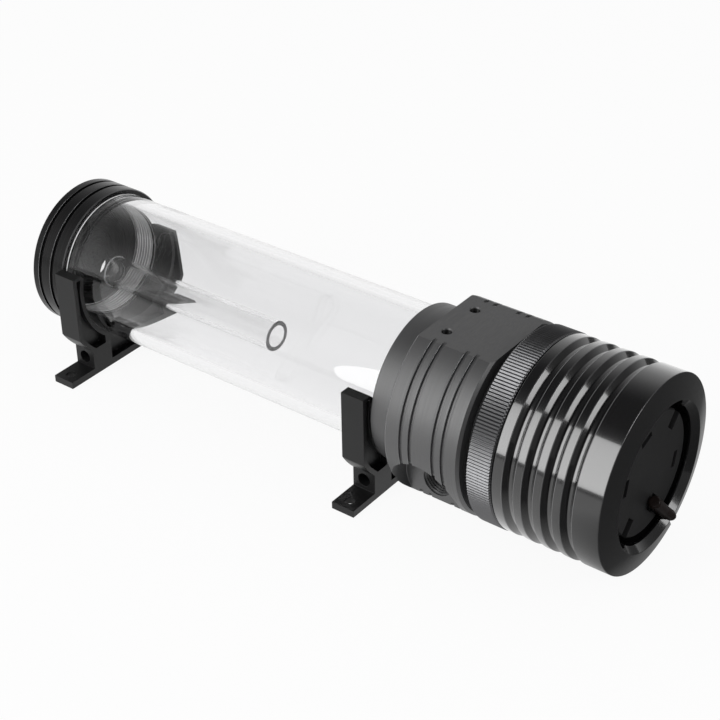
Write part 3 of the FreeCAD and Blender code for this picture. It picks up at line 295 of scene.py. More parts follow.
# %% Outline with rounded corners
def rounded(corners, steps=4):
    """Each corner becomes an arc tangent to its two sides: its ends lie rounding / tan(half the inner angle)
    back along the sides, and the points between follow a circle."""
    points = []
    count = len(corners)
    for index, (x, r, rounding) in enumerate(corners):
        here = np.array((x, r), float)
        before = np.array(corners[index - 1][:2], float) - here
        after = np.array(corners[(index + 1) % count][:2], float) - here
        if rounding <= 0.0:
            points.append(here)
            continue
        into, out = before / np.linalg.norm(before), after / np.linalg.norm(after)
        half = 0.5 * math.acos(float(np.clip(into @ out, -1.0, 1.0)))
        reach = rounding / math.tan(half)
        reach = min(reach, 0.45 * np.linalg.norm(before), 0.45 * np.linalg.norm(after))
        radius = reach * math.tan(half)
        middle = here + (into + out) / np.linalg.norm(into + out) * radius / math.sin(half)
        first, last = here + into * reach - middle, here + out * reach - middle
        share = np.linspace(0.0, 1.0, steps + 1)[:, None]
        arc = first * (1.0 - share) + last * share
        arc *= radius / np.linalg.norm(arc, axis=1)[:, None]
        points.extend(middle + arc)
    return np.array(points)


print("a rounded square has", len(rounded([(0, 1, 0.2), (1, 1, 0.2), (1, 2, 0.2), (0, 2, 0.2)])), "points")

# %% [markdown]
# The sweep lays the outline out as the rows of a grid, and the angles round the axis as its columns. Rows
# and columns both wrap round, so the surface is closed. A shape function may then move the radius, for a
# thread or a knurl.

# %% Sweep round an axis
def sweep(name, outline, turns=256, across=0.0, height=AXIS_HEIGHT, shape=None):
    """The closed outline (x, r) in millimetres at every angle a: the point is (x, across + r cos a,
    height + r sin a). A shape function may move the radius: it gets the grids of x, r and a."""
    angles = np.linspace(0.0, 2.0 * math.pi, turns, endpoint=False)
    x = np.repeat(outline[:, 0][:, None], turns, axis=1)
    r = np.repeat(outline[:, 1][:, None], turns, axis=1)
    a = np.repeat(angles[None, :], len(outline), axis=0)
    if shape is not None:
        r = shape(x, r, a)
    points = np.stack([x, across + r * np.cos(a), height + r * np.sin(a)], axis=-1).reshape(-1, 3) * MM
    rows, columns = len(outline), turns
    i = np.arange(rows)[:, None]
    j = np.arange(columns)[None, :]
    next_i, next_j = (i + 1) % rows, (j + 1) % columns
    corners = (i * columns + j, next_i * columns + j, next_i * columns + next_j, i * columns + next_j)
    faces = np.stack([np.broadcast_to(c, (rows, columns)) for c in corners], axis=-1).reshape(-1, 4)
    mesh = bpy.data.meshes.new(name)
    mesh.from_pydata(points.tolist(), [], faces.tolist())
    return finished_mesh(name, mesh)


def finished_mesh(name, mesh):
    """Doubles merged, faces turned outwards, shaded smooth."""
    shape = bmesh.new()
    shape.from_mesh(mesh)
    bmesh.ops.remove_doubles(shape, verts=shape.verts, dist=1e-7)
    bmesh.ops.dissolve_degenerate(shape, edges=shape.edges, dist=1e-8)
    bmesh.ops.recalc_face_normals(shape, faces=shape.faces)
    shape.to_mesh(mesh)
    shape.free()
    mesh.shade_smooth()
    piece = bpy.data.objects.new(name, mesh)
    scene.collection.objects.link(piece)
    return piece


# %% [markdown]
# A finished piece takes the place of its solid, which is hidden. It rides on the same body, so that the
# joints still hold, and is given its material. Holes are made as in a workshop: a cutter of the hole's
# shape is taken away.

# %% Handing a piece over
def stands_for(piece, node, material):
    """The piece replaces a node, which it hides, rides on its body and is given a material."""
    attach(piece, nodes[node]["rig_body"])
    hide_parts(node)
    piece.data.materials.clear()
    piece.data.materials.append(material)
    return piece


NORMAL_WEIGHT = 80


def crisp(piece, angle=None):
    """Face normals weighted by area, so that flat faces stay flat up to their rounded edges."""
    weights = piece.modifiers.new("weights", "WEIGHTED_NORMAL")
    weights.weight = NORMAL_WEIGHT
    weights.keep_sharp = True
    if angle is not None:
        piece.data.set_sharp_from_angle(angle=math.radians(angle))
    return piece


def carve(piece, cutters):
    """Cuts several hidden cutters out of a piece, and deletes them."""
    for cutter in cutters:
        cut = piece.modifiers.new("cut", "BOOLEAN")
        cut.operation = "DIFFERENCE"
        cut.solver = "EXACT"
        cut.object = cutter
    bpy.context.view_layer.update()
    graph = bpy.context.evaluated_depsgraph_get()
    mesh = bpy.data.meshes.new_from_object(piece.evaluated_get(graph))
    piece.modifiers.clear()
    piece.data = mesh
    for cutter in cutters:
        bpy.data.objects.remove(cutter)
    return piece


def told(piece):
    """Prints what was made."""
    print(piece.name, "has", len(piece.data.polygons), "faces and", len(piece.data.materials), "materials")
    return piece


# %% [markdown]
# The materials come next. A lathe leaves rings, finer than a hair, that run round the axis on every
# surface. Their pattern depends on the place along the axis and on the radius, and hardly on the angle. So
# the shader works out the radius from the Object coordinates and feeds noise with (x, radius, a little of
# the angle).

# %% Coordinates round the axis
def turned_place(tree):
    """(x, r, angle) round the tube's axis, in millimetres and radians, from the Object coordinates."""
    place = add(tree, "ShaderNodeTexCoord")
    split = add(tree, "ShaderNodeSeparateXYZ")
    tree.links.new(place.outputs["Object"], split.inputs[0])
    x, y, z = (math_node(tree, "MULTIPLY", output, 1.0 / MM) for output in split.outputs)
    z = math_node(tree, "SUBTRACT", z, AXIS_HEIGHT)
    squares = math_node(tree, "ADD", math_node(tree, "MULTIPLY", y, y), math_node(tree, "MULTIPLY", z, z))
    r = math_node(tree, "SQRT", squares)
    angle = math_node(tree, "ARCTAN2", z, y)
    return x, r, angle


def joined(tree, x, y, z):
    """One vector from three sockets or numbers."""
    return fill_inputs(tree, add(tree, "ShaderNodeCombineXYZ"), (x, y, z))


def scaled(tree, place, along, outward, around):
    """A place round the axis as a vector, each part times a number of its own."""
    factors = (along, outward, around)
    return joined(tree, *(math_node(tree, "MULTIPLY", part, by) for part, by in zip(place, factors)))


def noise(tree, vector, scale, detail=2.0, roughness=0.5):
    """A noise value for a vector."""
    node = add(tree, "ShaderNodeTexNoise")
    node.inputs["Scale"].default_value = scale
    node.inputs["Detail"].default_value = detail
    node.inputs["Roughness"].default_value = roughness
    tree.links.new(vector, node.inputs["Vector"])
    return node.outputs[0]


def shades(tree, value, dark, light):
    """A colour between two, by a value."""
    mix = add(tree, "ShaderNodeMix", data_type="RGBA")
    tree.links.new(value, mix.inputs[0])
    mix.inputs[6].default_value = (*dark, 1.0)
    mix.inputs[7].default_value = (*light, 1.0)
    return mix.outputs[2]


def bump(tree, shader, height, depth, strength=1.0):
    """A bump whose depth is in millimetres."""
    node = add(tree, "ShaderNodeBump")
    node.inputs["Strength"].default_value = strength
    node.inputs["Distance"].default_value = depth * MM
    tree.links.new(height, node.inputs["Height"])
    tree.links.new(node.outputs[0], shader.inputs["Normal"])


# %% [markdown]
# Anodising grows a hard, clear layer on aluminium, and the dye sits in its pores. One function makes all the
# black metal. A lighter copy of it on the rounded edges and thread crests is a painted highlight, and a
# darker one in the tapped bores is painted shade. The roughness tells satin from gloss, and a coat gives the
# polished cover its deep shine.

# %% Black aluminium off the lathe
def turned_black(name, colour, roughness, ring_depth, rings=3.0, coat=0.0, metal=0.0, shine=0.5):
    """Noise in fine rings drives the roughness and a bump, and slow noise drifts the shade of the dye."""
    material, tree, shader = new_material(name)
    place = turned_place(tree)
    rings_value = noise(tree, scaled(tree, place, rings, rings, 0.35), 1.0, 3.0, 0.6)
    cloud = noise(tree, scaled(tree, place, 0.05, 0.05, 1.5), 1.0, 2.0)
    light = tuple(value * 1.45 for value in colour)
    tree.links.new(shades(tree, cloud, colour, light), shader.inputs["Base Color"])
    tree.links.new(spread(tree, rings_value, roughness * 0.82, roughness * 1.2), shader.inputs["Roughness"])
    shader.inputs["Metallic"].default_value = metal
    shader.inputs["Specular IOR Level"].default_value = shine
    shader.inputs["Coat Weight"].default_value = coat
    shader.inputs["Coat Roughness"].default_value = 0.06
    bump(tree, shader, rings_value, ring_depth)
    return material


satin_black = turned_black("satin_black_anodised", (0.034, 0.034, 0.035), 0.46, 0.004, shine=1.0)
cap_black = turned_black("cap_black_anodised", (0.004, 0.004, 0.0042), 0.26, 0.001, shine=0.22)
gloss_black = turned_black("gloss_black_anodised", (0.004, 0.004, 0.0043), 0.16, 0.0012, rings=6.0, coat=1.0)
knurl_black = turned_black("knurled_black", (0.105, 0.105, 0.108), 0.33, 0.0005, metal=1.0)
# Painted highlight: a lighter black, given to the rounded edges and to the fill port's thread crests.
edge_painted_highlight = turned_black("painted_edge_highlight", (0.15, 0.15, 0.153), 0.24, 0.0004, metal=0.8, shine=1.0)
# Painted shade: a near-black for the walls of the tapped bores.
bore_black = turned_black("bore_black", (0.002, 0.002, 0.002), 0.45, 0.001, shine=0.3)
print("turned metals:", [material.name for material in bpy.data.materials if "black" in material.name])

# %% [markdown]
# Cast acrylic bends light nearly as glass does. Where a cutter has been it isn't clear any more: threads
# and sawn ends scatter the light and look frosted. The wall guides light to such cuts as a pipe does, more
# than the renderer can follow, so they are given a painted glow, an emission of their own, brightest on the
# thread crests. Faces get a second material by the place where they lie.

# %% Clear acrylic
ACRYLIC_IOR = 1.49


def clear_plastic(name, tint, roughness=0.015, coat=0.0):
    """Cast acrylic: bends light as glass does, with a faint ripple from polishing."""
    material, tree, shader = new_material(name)
    shader.inputs["Base Color"].default_value = (*tint, 1.0)
    shader.inputs["Transmission Weight"].default_value = 1.0
    shader.inputs["IOR"].default_value = ACRYLIC_IOR
    shader.inputs["Coat Weight"].default_value = coat
    shader.inputs["Coat IOR"].default_value = 1.7
    ripple = noise(tree, scaled(tree, turned_place(tree), 0.04, 0.2, 1.2), 1.0, 1.0)
    tree.links.new(spread(tree, ripple, roughness * 0.6, roughness * 1.6), shader.inputs["Roughness"])
    bump(tree, shader, ripple, 0.004, 0.3)
    return material


tube_clear = clear_plastic("tube_acrylic", (0.94, 0.94, 0.945))
pipe_clear = clear_plastic("pipe_acrylic", (1.0, 1.0, 1.0), coat=0.6)


def frosted(name, tint, through, painted_glow=0.0):
    """Part of the light is scattered at the surface, and the rest goes through. The painted glow is an
    emission that stands in for the light the wall has guided there."""
    material, tree, shader = new_material(name)
    shader.inputs["Base Color"].default_value = (*tint, 1.0)
    shader.inputs["Transmission Weight"].default_value = through
    shader.inputs["IOR"].default_value = ACRYLIC_IOR
    shader.inputs["Roughness"].default_value = 0.38
    shader.inputs["Emission Color"].default_value = grey(1.0)
    shader.inputs["Emission Strength"].default_value = painted_glow
    return material


thread_frost = frosted("acrylic_thread", (0.97, 0.97, 0.97), 0.08, 0.02)
# Painted glow: the thread crests emit light of their own.
crest_frost_glow = frosted("acrylic_thread_crest_glow", (0.97, 0.97, 0.97), 0.08, 0.34)
sawn_frost = frosted("acrylic_sawn_end", (0.50, 0.50, 0.51), 0.35)


def cut_faces(piece, materials, chosen):
    """More materials for some faces. The rule gets the faces' middles as x, y and z in millimetres. It gives
    0 for the piece's own material, 1 for the first of the others, and so on."""
    for material in materials:
        piece.data.materials.append(material)
    count = len(piece.data.polygons)
    middle = np.zeros(count * 3)
    piece.data.polygons.foreach_get("center", middle)
    x, y, z = middle.reshape(-1, 3).T / MM
    piece.data.polygons.foreach_set("material_index", chosen(x, y, z).astype(np.int32))
    return piece


def on_edge(y, z, radius, reach):
    """The rounded edges of a turned piece, which get the painted highlight, lie a little inside its largest
    radius.
    """
    inside = radius - np.hypot(y, z - AXIS_HEIGHT)
    return (inside > 0.012) & (inside < reach)


# %% [markdown]
# All the rest is moulded, cast or rolled: nylon, rubber, ceramic, copper, steel. Each has an even grain and
# a slow drift of shade, so one function serves them all. The pieces inside keep the meshes of their solids,
# because nothing of them is seen until the part is opened.

# %% Moulded and other materials
def moulded(name, colour, roughness, grain=0.012, scale=5.0, metal=0.0, shine=0.5):
    """Fine noise drives the roughness and a bump, and slow noise drifts the colour up to a third lighter."""
    material, tree, shader = new_material(name)
    place = add(tree, "ShaderNodeTexCoord")
    sized = add(tree, "ShaderNodeVectorMath", operation="SCALE")
    sized.inputs["Scale"].default_value = 1.0 / MM
    tree.links.new(place.outputs["Object"], sized.inputs[0])
    fine = noise(tree, sized.outputs[0], scale, 3.0, 0.6)
    drift = noise(tree, sized.outputs[0], 0.06, 2.0)
    light = tuple(min(1.0, value * 1.35 + 0.002) for value in colour)
    tree.links.new(shades(tree, drift, colour, light), shader.inputs["Base Color"])
    tree.links.new(spread(tree, fine, roughness * 0.9, roughness * 1.12), shader.inputs["Roughness"])
    shader.inputs["Metallic"].default_value = metal
    shader.inputs["Specular IOR Level"].default_value = shine
    bump(tree, shader, fine, grain)
    return material


clamp_black = moulded("clamp_nylon", (0.007, 0.007, 0.0072), 0.38, shine=0.26)
plate_grey = moulded("plate_nylon", (0.014, 0.014, 0.0145), 0.45, 0.008, 4.0, shine=0.5)
motor_black = moulded("motor_shell_black", (0.016, 0.016, 0.017), 0.4)
seal_black = moulded("seal_rubber", (0.012, 0.012, 0.012), 0.55, 0.01, 8.0)
boot_rubber = moulded("boot_rubber", (0.008, 0.0045, 0.004), 0.36, 0.006, 4.0, shine=0.2)
impeller_grey = moulded("impeller_plastic", (0.30, 0.31, 0.32), 0.45)
ferrite = moulded("magnet_ferrite", (0.07, 0.065, 0.065), 0.6, 0.02, 7.0)
carbon = moulded("bearing_carbon", (0.05, 0.05, 0.05), 0.4)
ceramic = moulded("bearing_ceramic", (0.84, 0.83, 0.80), 0.12, 0.001)
steel = moulded("ground_steel", (0.60, 0.60, 0.60), 0.25, 0.002, 9.0, metal=1.0)
lamination = moulded("stator_lamination", (0.40, 0.40, 0.41), 0.35, 0.01, 6.0, metal=1.0)
copper = moulded("winding_copper", (0.72, 0.36, 0.20), 0.3, 0.02, 3.0, metal=1.0)
board_green = moulded("board_varnish", (0.02, 0.13, 0.06), 0.25, 0.004)
chip_black = moulded("chip_epoxy", (0.02, 0.02, 0.02), 0.35, 0.004)
plug_black = moulded("plug_nylon", (0.018, 0.018, 0.018), 0.45)
tin = moulded("contact_tin", (0.7, 0.69, 0.66), 0.3, 0.002, 9.0, metal=1.0)

INSIDE = {
    "motor_housing": impeller_grey, "bearing_post": steel, "bearing_ball": ceramic, "bearing_cup": carbon,
    "rotor_magnet": ferrite, "impeller": impeller_grey, "stator_core": lamination, "stator_coils": copper,
    "circuit_board": board_green, "board_parts": chip_black, "motor_shell": motor_black,
    "power_plug": plug_black, "plug_contacts": tin,
    "end_cap_oring": seal_black, "pump_top_oring": seal_black, "motor_oring": seal_black,
    "fill_plug_oring": seal_black,
}
for node, material in INSIDE.items():
    nodes[node].data.materials.clear()
    nodes[node].data.materials.append(material)
print("materials:", len(bpy.data.materials))

# %% [markdown]
# The end cap is a cup with two grooves, and two threaded ports go through its floor. They show through the
# clear tube as dark rings. The cutters that make them are swept too, and carry the threads.

# %% End cap
CAP_FAR, CAP_LONG, CAP_RADIUS = -99.6, 18.0, 32.2
CAP_FLOOR = CAP_FAR + 8.3
PORT_RADIUS = 6.58
PORT_TURN = math.radians(122.0)
PORT_OUT = 14.7
FILL_PLACE = (PORT_OUT * math.cos(PORT_TURN), AXIS_HEIGHT + PORT_OUT * math.sin(PORT_TURN))
RETURN_PLACE = (-PORT_OUT * math.cos(PORT_TURN), AXIS_HEIGHT - PORT_OUT * math.sin(PORT_TURN))
PORT_PITCH, PORT_DEPTH = 1.337, 0.5
CAP_GROOVES, CAP_GROOVE_WIDTH, CAP_GROOVE_DEPTH = (3.9, 10.6), 1.7, 1.2
SOCKET_RADIUS = 30.1
PIPE_SEAT = CAP_FLOOR - 3.4


def groove(start, width, radius, depth, lip=0.26, floor=0.12):
    """The four corners of a groove in an outside surface."""
    return [(start, radius, lip), (start, radius - depth, floor), (start + width, radius - depth, floor),
            (start + width, radius, lip)]


def cap_outline():
    """From the middle of the outer face round the side to the middle of the floor."""
    far, near = CAP_FAR, CAP_FAR + CAP_LONG
    corners = [(far, 0.0, 0.0), (far, CAP_RADIUS - 0.9, 0.12), (far + 0.9, CAP_RADIUS, 0.12)]
    for start in CAP_GROOVES:
        corners += groove(far + start, CAP_GROOVE_WIDTH, CAP_RADIUS, CAP_GROOVE_DEPTH)
    corners += [(near - 0.45, CAP_RADIUS, 0.12), (near, CAP_RADIUS - 0.45, 0.12), (near, SOCKET_RADIUS, 0.15)]
    corners += [(CAP_FLOOR, SOCKET_RADIUS, 0.1), (CAP_FLOOR, 0.0, 0.0)]
    return rounded(corners)


def rod_cutter(name, radius, start, end, across, height, pitch=0.0, depth=0.0, turns=64, flare=0.0):
    """A rod along +X. With a pitch, its side carries a thread: the radius falls by depth where
    x / pitch - angle / one turn is half way between whole numbers. A flare widens its start."""
    steps = 2 if pitch == 0.0 else max(2, int((end - start) / pitch * 10))
    along = np.linspace(start, end, steps + 1)
    outline = [(start, 0.0), *((x, radius + max(0.0, flare - (x - start))) for x in along), (end, 0.0)]

    def thread(x, r, a):
        wave = np.abs(((x / max(pitch, 1e-9) - a / (2.0 * math.pi)) % 1.0) - 0.5) * 2.0
        return np.where(r > 0.5 * radius, r - depth * (1.0 - wave), r)

    return sweep(name, np.array(outline), turns, across, height, thread if pitch else None)


def build_cap():
    cap = sweep("end_cap_body", cap_outline(), 288)
    cutters = [
        rod_cutter("cut_fill", PORT_RADIUS, CAP_FAR - 2.0, CAP_FLOOR - 2.0, *FILL_PLACE),
        rod_cutter("cut_fill_end", PORT_RADIUS, CAP_FLOOR - 2.2, CAP_FLOOR + 2.0, *FILL_PLACE,
                   pitch=PORT_PITCH, depth=PORT_DEPTH),
        rod_cutter("cut_return", PORT_RADIUS, CAP_FAR - 2.0, PIPE_SEAT, *RETURN_PLACE,
                   pitch=PORT_PITCH, depth=PORT_DEPTH),
        rod_cutter("cut_pipe", 6.3, CAP_FLOOR - 4.0, CAP_FLOOR + 2.0, *RETURN_PLACE),
    ]
    carve(cap, cutters)
    crisp(stands_for(cap, "end_cap", cap_black), 40)

    # The rounded edges and the crests of the fill port's thread get the painted highlight.
    def edge_or_crest(x, y, z):
        out = np.hypot(y - FILL_PLACE[0], z - FILL_PLACE[1])
        crest = (out < PORT_RADIUS - 0.3) & (out > 5.5) & (x > CAP_FLOOR - 2.1) & (x < CAP_FLOOR - 0.02)
        return on_edge(y, z, CAP_RADIUS, 0.25) | crest

    return cut_faces(cap, [edge_painted_highlight], edge_or_crest)


told(build_cap())

# %% [markdown]
# The tube is clear acrylic with a thread cut outside each end. The thread is a real helix here: the radius
# at a point depends on its place along the axis less its share of a turn, times the pitch. The crests of
# the thread carry a painted glow, and show through the wall as fine light lines.

# %% Reservoir tube
TUBE_START, TUBE_END = CAP_FLOOR + 0.4, CAP_FLOOR + 0.4 + 182.8
TUBE_RADIUS, TUBE_BORE = 30.0, 25.0
THREAD_PITCH, THREAD_DEPTH, THREAD_LONG = 1.5, 0.55, 8.2
CAP_MOUTH = CAP_FAR + CAP_LONG


def tube_outline():
    """Fine steps where the threads are, and long ones between. A fine ring runs round the tube at the cap."""
    left = np.arange(TUBE_START + 0.5, TUBE_START + THREAD_LONG + 1.2, 0.15)
    right = TUBE_START + TUBE_END - left[::-1]
    outside = [(x, TUBE_RADIUS) for x in np.concatenate([left, right])]
    relief = [(CAP_MOUTH + 0.15, TUBE_RADIUS), (CAP_MOUTH + 0.4, TUBE_RADIUS - 0.3),
              (CAP_MOUTH + 0.7, TUBE_RADIUS)]
    outside = [point for point in outside if not CAP_MOUTH < point[0] < CAP_MOUTH + 0.9]
    outside = sorted(outside + relief)
    ends = [(TUBE_START, TUBE_BORE + 0.25), (TUBE_START, TUBE_RADIUS - 0.7)]
    back_ends = [(TUBE_END, TUBE_RADIUS - 0.7), (TUBE_END, TUBE_BORE + 0.25)]
    inside = [(TUBE_END - 0.25, TUBE_BORE), (TUBE_START + 0.25, TUBE_BORE)]
    return np.array(ends + outside + back_ends + inside)


def tube_thread(x, r, a):
    """A rounded V that fades out at the end of each threaded stretch."""
    phase = (x / THREAD_PITCH - a / (2.0 * math.pi)) % 1.0
    ridge = 0.5 - 0.5 * np.cos(2.0 * math.pi * phase)
    inward = np.minimum(x - TUBE_START, TUBE_END - x)
    fade = np.clip((THREAD_LONG - inward) / 0.8, 0.0, 1.0)
    return np.where(r > TUBE_RADIUS - 0.1, r - THREAD_DEPTH * ridge * fade, r)


def on_thread(x, y, z):
    """1 on the threads and on the ring at the cap, and 2 on the crests of the threads, which carry a painted
    glow.
    """
    inward = np.minimum(x - TUBE_START, TUBE_END - x)
    relief = np.abs(x - (CAP_MOUTH + 0.42)) < 0.3
    out = np.hypot(y, z - AXIS_HEIGHT)
    thread = ((inward < THREAD_LONG) | relief) & (out > 28.5)
    crest = thread & (inward < THREAD_LONG) & (out > TUBE_RADIUS - 0.08)
    return np.where(crest, 2, thread)


tube = sweep("clear_tube", tube_outline(), 256, shape=tube_thread)
crisp(stands_for(tube, "reservoir_tube", tube_clear), 50)
told(cut_faces(tube, [thread_frost, crest_frost_glow], on_thread))

# %% [markdown]
# The return pipe lets the coolant in near the middle of the tube. It has a collar at its foot, with a
# frosted ring where the collar ends, and a sawn end that shows as a grey ring.

# %% Return pipe
PIPE_BORE, PIPE_SPIGOT, PIPE_COLLAR, PIPE_RADIUS = 5.0, 6.2, 7.5, 7.0
PIPE_LONG, PIPE_COLLAR_LONG = 96.0, 3.2


def build_pipe():
    across, height = RETURN_PLACE
    end = CAP_FLOOR + PIPE_LONG
    step = CAP_FLOOR + PIPE_COLLAR_LONG
    corners = [(PIPE_SEAT, PIPE_BORE, 0.2), (PIPE_SEAT, PIPE_SPIGOT, 0.2), (CAP_FLOOR, PIPE_SPIGOT, 0.0),
               (CAP_FLOOR, PIPE_COLLAR, 0.2), (step, PIPE_COLLAR, 0.3), (step, PIPE_RADIUS, 0.2),
               (end, PIPE_RADIUS, 0.5), (end, PIPE_BORE, 0.35)]
    pipe = sweep("clear_pipe", rounded(corners, 5), 96, across, height)
    crisp(stands_for(pipe, "return_pipe", pipe_clear), 50)

    def cut_or_ring(x, y, z):
        ring = (np.abs(x - CAP_FLOOR - 3.1) < 0.25) & (np.hypot(y - across, z - height) > 7.05)
        return np.where(ring, 1, np.where(x > end - 0.36, 2, 0))

    return cut_faces(pipe, [thread_frost, sawn_frost], cut_or_ring)


told(build_pipe())

# %% [markdown]
# The pump body was turned, then milled: a flat on top with two tapped holes, and a round spot face with the
# outlet port in it. Each cut is a cutter of its own, and the port's cutter carries the thread.

# %% Pump body
COLLAR = 82.7
BODY, BODY_END = COLLAR + 11.4, COLLAR + 44.4
NECK_END = BODY_END + 10.2
COLLAR_RADIUS, BODY_RADIUS, NECK_RADIUS = 32.6, 39.25, 32.9
PORT_PLACE = (COLLAR + 25.9, AXIS_HEIGHT - 21.5)
GROOVE_STARTS, GROOVE_WIDTH, GROOVE_DEPTH, GROOVE_LIP = (6.4, 10.6, 20.9, 25.1), 1.5, 1.0, 0.26
MOTOR_ROOM, CHAMBER_RADIUS = 30.2, 23.0
TUBE_SEAT, CHAMBER_FLOOR, NOSE_END = 92.3, 104.1, 115.4
FUNNEL_RADIUS, EYE_RADIUS, NOSE_RADIUS = 15.0, 8.5, 11.5
FLAT_TOP = AXIS_HEIGHT + 34.85
SPOT_RADIUS, SPOT_FACE = 14.5, -25.0
SCREW_ALONG, SCREW_OUT = BODY + 7.2, 9.4


def body_outline():
    """The outside from the collar to the neck, then back through the motor's room, the chamber with its nose,
    the funnel and the tube's seat."""
    corners = [(COLLAR, SOCKET_RADIUS, 0.15), (COLLAR, COLLAR_RADIUS, 0.4), (BODY, COLLAR_RADIUS, 0.25),
               (BODY, BODY_RADIUS, 0.5)]
    for start in GROOVE_STARTS:
        corners += groove(BODY + start, GROOVE_WIDTH, BODY_RADIUS, GROOVE_DEPTH, GROOVE_LIP, 0.1)
    corners += [(BODY_END - 1.1, BODY_RADIUS, 0.12), (BODY_END, BODY_RADIUS - 1.1, 0.12)]
    corners += [(BODY_END, NECK_RADIUS, 0.2), (NECK_END, NECK_RADIUS, 0.4), (NECK_END, MOTOR_ROOM, 0.2)]
    corners += [(BODY_END, MOTOR_ROOM, 0.1), (BODY_END, CHAMBER_RADIUS, 0.2)]
    corners += [(CHAMBER_FLOOR, CHAMBER_RADIUS, 0.4), (CHAMBER_FLOOR, NOSE_RADIUS, 0.4)]
    corners += [(NOSE_END, NOSE_RADIUS, 0.3), (NOSE_END, EYE_RADIUS, 0.3), (CHAMBER_FLOOR, EYE_RADIUS, 0.0)]
    corners += [(TUBE_SEAT, FUNNEL_RADIUS, 0.3), (TUBE_SEAT, SOCKET_RADIUS, 0.1)]
    return rounded(corners)


def turned_to(cutter, matrix):
    """Moves a cutter's points with a matrix."""
    cutter.data.transform(matrix)
    return cutter


def at_place(x, y, z, degrees, axis):
    """The matrix that turns a cutter about an axis and carries it from the origin to a place."""
    return Matrix.Translation(Vector((x, y, z)) * MM) @ Matrix.Rotation(math.radians(degrees), 4, axis)


def along_y(centre_x, centre_z):
    """Carries a rod along +X through the origin to one along +Y, at a place in x and z."""
    return at_place(centre_x, 0.0, centre_z, 90.0, "Z")


def upright(centre_x, centre_y, height):
    """Carries a rod along +X to one along +Z, at a place in x, y and z."""
    return at_place(centre_x, centre_y, height, -90.0, "Y")


def flat_cutter(name, low, high):
    """A box between two corners, in millimetres."""
    spans = zip(low, high)
    corner = np.array(np.meshgrid(*spans, indexing="ij")).reshape(3, -1).T
    sides = [(0, 1, 3, 2), (4, 6, 7, 5), (0, 4, 5, 1), (2, 3, 7, 6), (0, 2, 6, 4), (1, 5, 7, 3)]
    mesh = bpy.data.meshes.new(name)
    mesh.from_pydata((corner * MM).tolist(), [], sides)
    return finished_mesh(name, mesh)


def screw_cutters(side):
    """A tapped hole down from the flat, and the countersink at its mouth."""
    hole = rod_cutter("cut_screw", 2.1, -9.0, 0.5, 0.0, 0.0, pitch=0.7, depth=0.3)
    sink = sweep("cut_sink", np.array([(-0.5, 0.0), (-0.5, 1.9), (0.4, 2.6), (0.4, 0.0)]), 48, 0.0, 0.0)
    return [turned_to(cutter, upright(SCREW_ALONG, side * SCREW_OUT, FLAT_TOP)) for cutter in (hole, sink)]


def port_cutters():
    """The round spot face, the threaded port with a flared mouth, and the channel behind it."""
    spot = rounded([(-60.0, 0.0, 0.0), (-60.0, SPOT_RADIUS, 0.0), (SPOT_FACE, SPOT_RADIUS, 0.35),
                    (SPOT_FACE, 0.0, 0.0)])
    cutters = [
        sweep("cut_spot", spot, 128, 0.0, 0.0),
        rod_cutter("cut_port", PORT_RADIUS, -26.0, -16.0, 0.0, 0.0, pitch=PORT_PITCH, depth=0.55, turns=96,
                   flare=1.6),
        rod_cutter("cut_channel", 4.5, -17.0, 0.0, 0.0, 0.0),
    ]
    return [turned_to(cutter, along_y(*PORT_PLACE)) for cutter in cutters]


def build_body():
    body = sweep("pump_body", body_outline(), 288)
    flat = flat_cutter("cut_flat", (BODY - 1.0, -40.0, FLAT_TOP), (BODY_END + 1.0, 40.0, FLAT_TOP + 10.0))
    carve(body, [flat, *screw_cutters(-1.0), *screw_cutters(1.0), *port_cutters()])
    crisp(stands_for(body, "pump_top", satin_black), 38)

    # The tapped bores get painted shade, and the rounded edges the painted highlight.
    def edge_or_bore(x, y, z):
        bore = np.hypot(x - SCREW_ALONG, np.abs(y) - SCREW_OUT) < 2.3
        bore = bore & (z > 60.0) & (z < FLAT_TOP - 0.35)
        return np.where(bore, 1, np.where(on_edge(y, z, BODY_RADIUS, GROOVE_LIP), 2, 0))

    return cut_faces(body, [bore_black, edge_painted_highlight], edge_or_bore)


told(build_body())

# %% [markdown]
# The ring is knurled with straight teeth, so that it can be turned by hand. Its radius is a wave of the
# angle with flat tops and floors, one tooth for each whole turn of the phase. The chamfers at both ends have
# no teeth.

# %% Knurled ring
RING, RING_LONG, RING_RADIUS, TEETH = BODY_END + 3.5, 10.6, 39.6, 186


RING_EDGE, RING_CHAMFER, TOOTH_DEPTH = 38.9, 0.55, 0.36
SHELL_BORE, NECK_BORE, NECK_STOP = 28.3, 33.0, 137.9


def ring_outline():
    """The chamfered outside, then the bore round the motor and the wider one round the neck."""
    end = RING + RING_LONG
    along = np.linspace(RING + RING_CHAMFER, end - RING_CHAMFER, 5)
    outside = [(RING, RING_EDGE), *((x, RING_RADIUS) for x in along), (end, RING_EDGE)]
    inside = [(end, SHELL_BORE), (NECK_STOP, SHELL_BORE), (NECK_STOP, NECK_BORE), (RING, NECK_BORE)]
    return np.array(outside + inside)


def knurl(x, r, a):
    """The radius falls by the tooth's depth times 2.5 |phase - 1/2| - 0.12, kept between 0 and 1."""
    phase = (a * TEETH / (2.0 * math.pi)) % 1.0
    tooth = np.clip(np.abs(phase - 0.5) * 2.5 - 0.12, 0.0, 1.0)
    return np.where(r > RING_RADIUS - 0.4, r - TOOTH_DEPTH * tooth, r)


ring = sweep("knurled_ring", ring_outline(), TEETH * 8, shape=knurl)
told(crisp(stands_for(ring, "retaining_ring", knurl_black), 30))

# %% [markdown]
# The cover is gloss black, with four V-shaped grooves for cooling. A step at its start leaves a shadow line
# against the ring. A cone leads down to its mouth, whose inner edge is bevelled, and a notch in the rim
# lets the cable out.

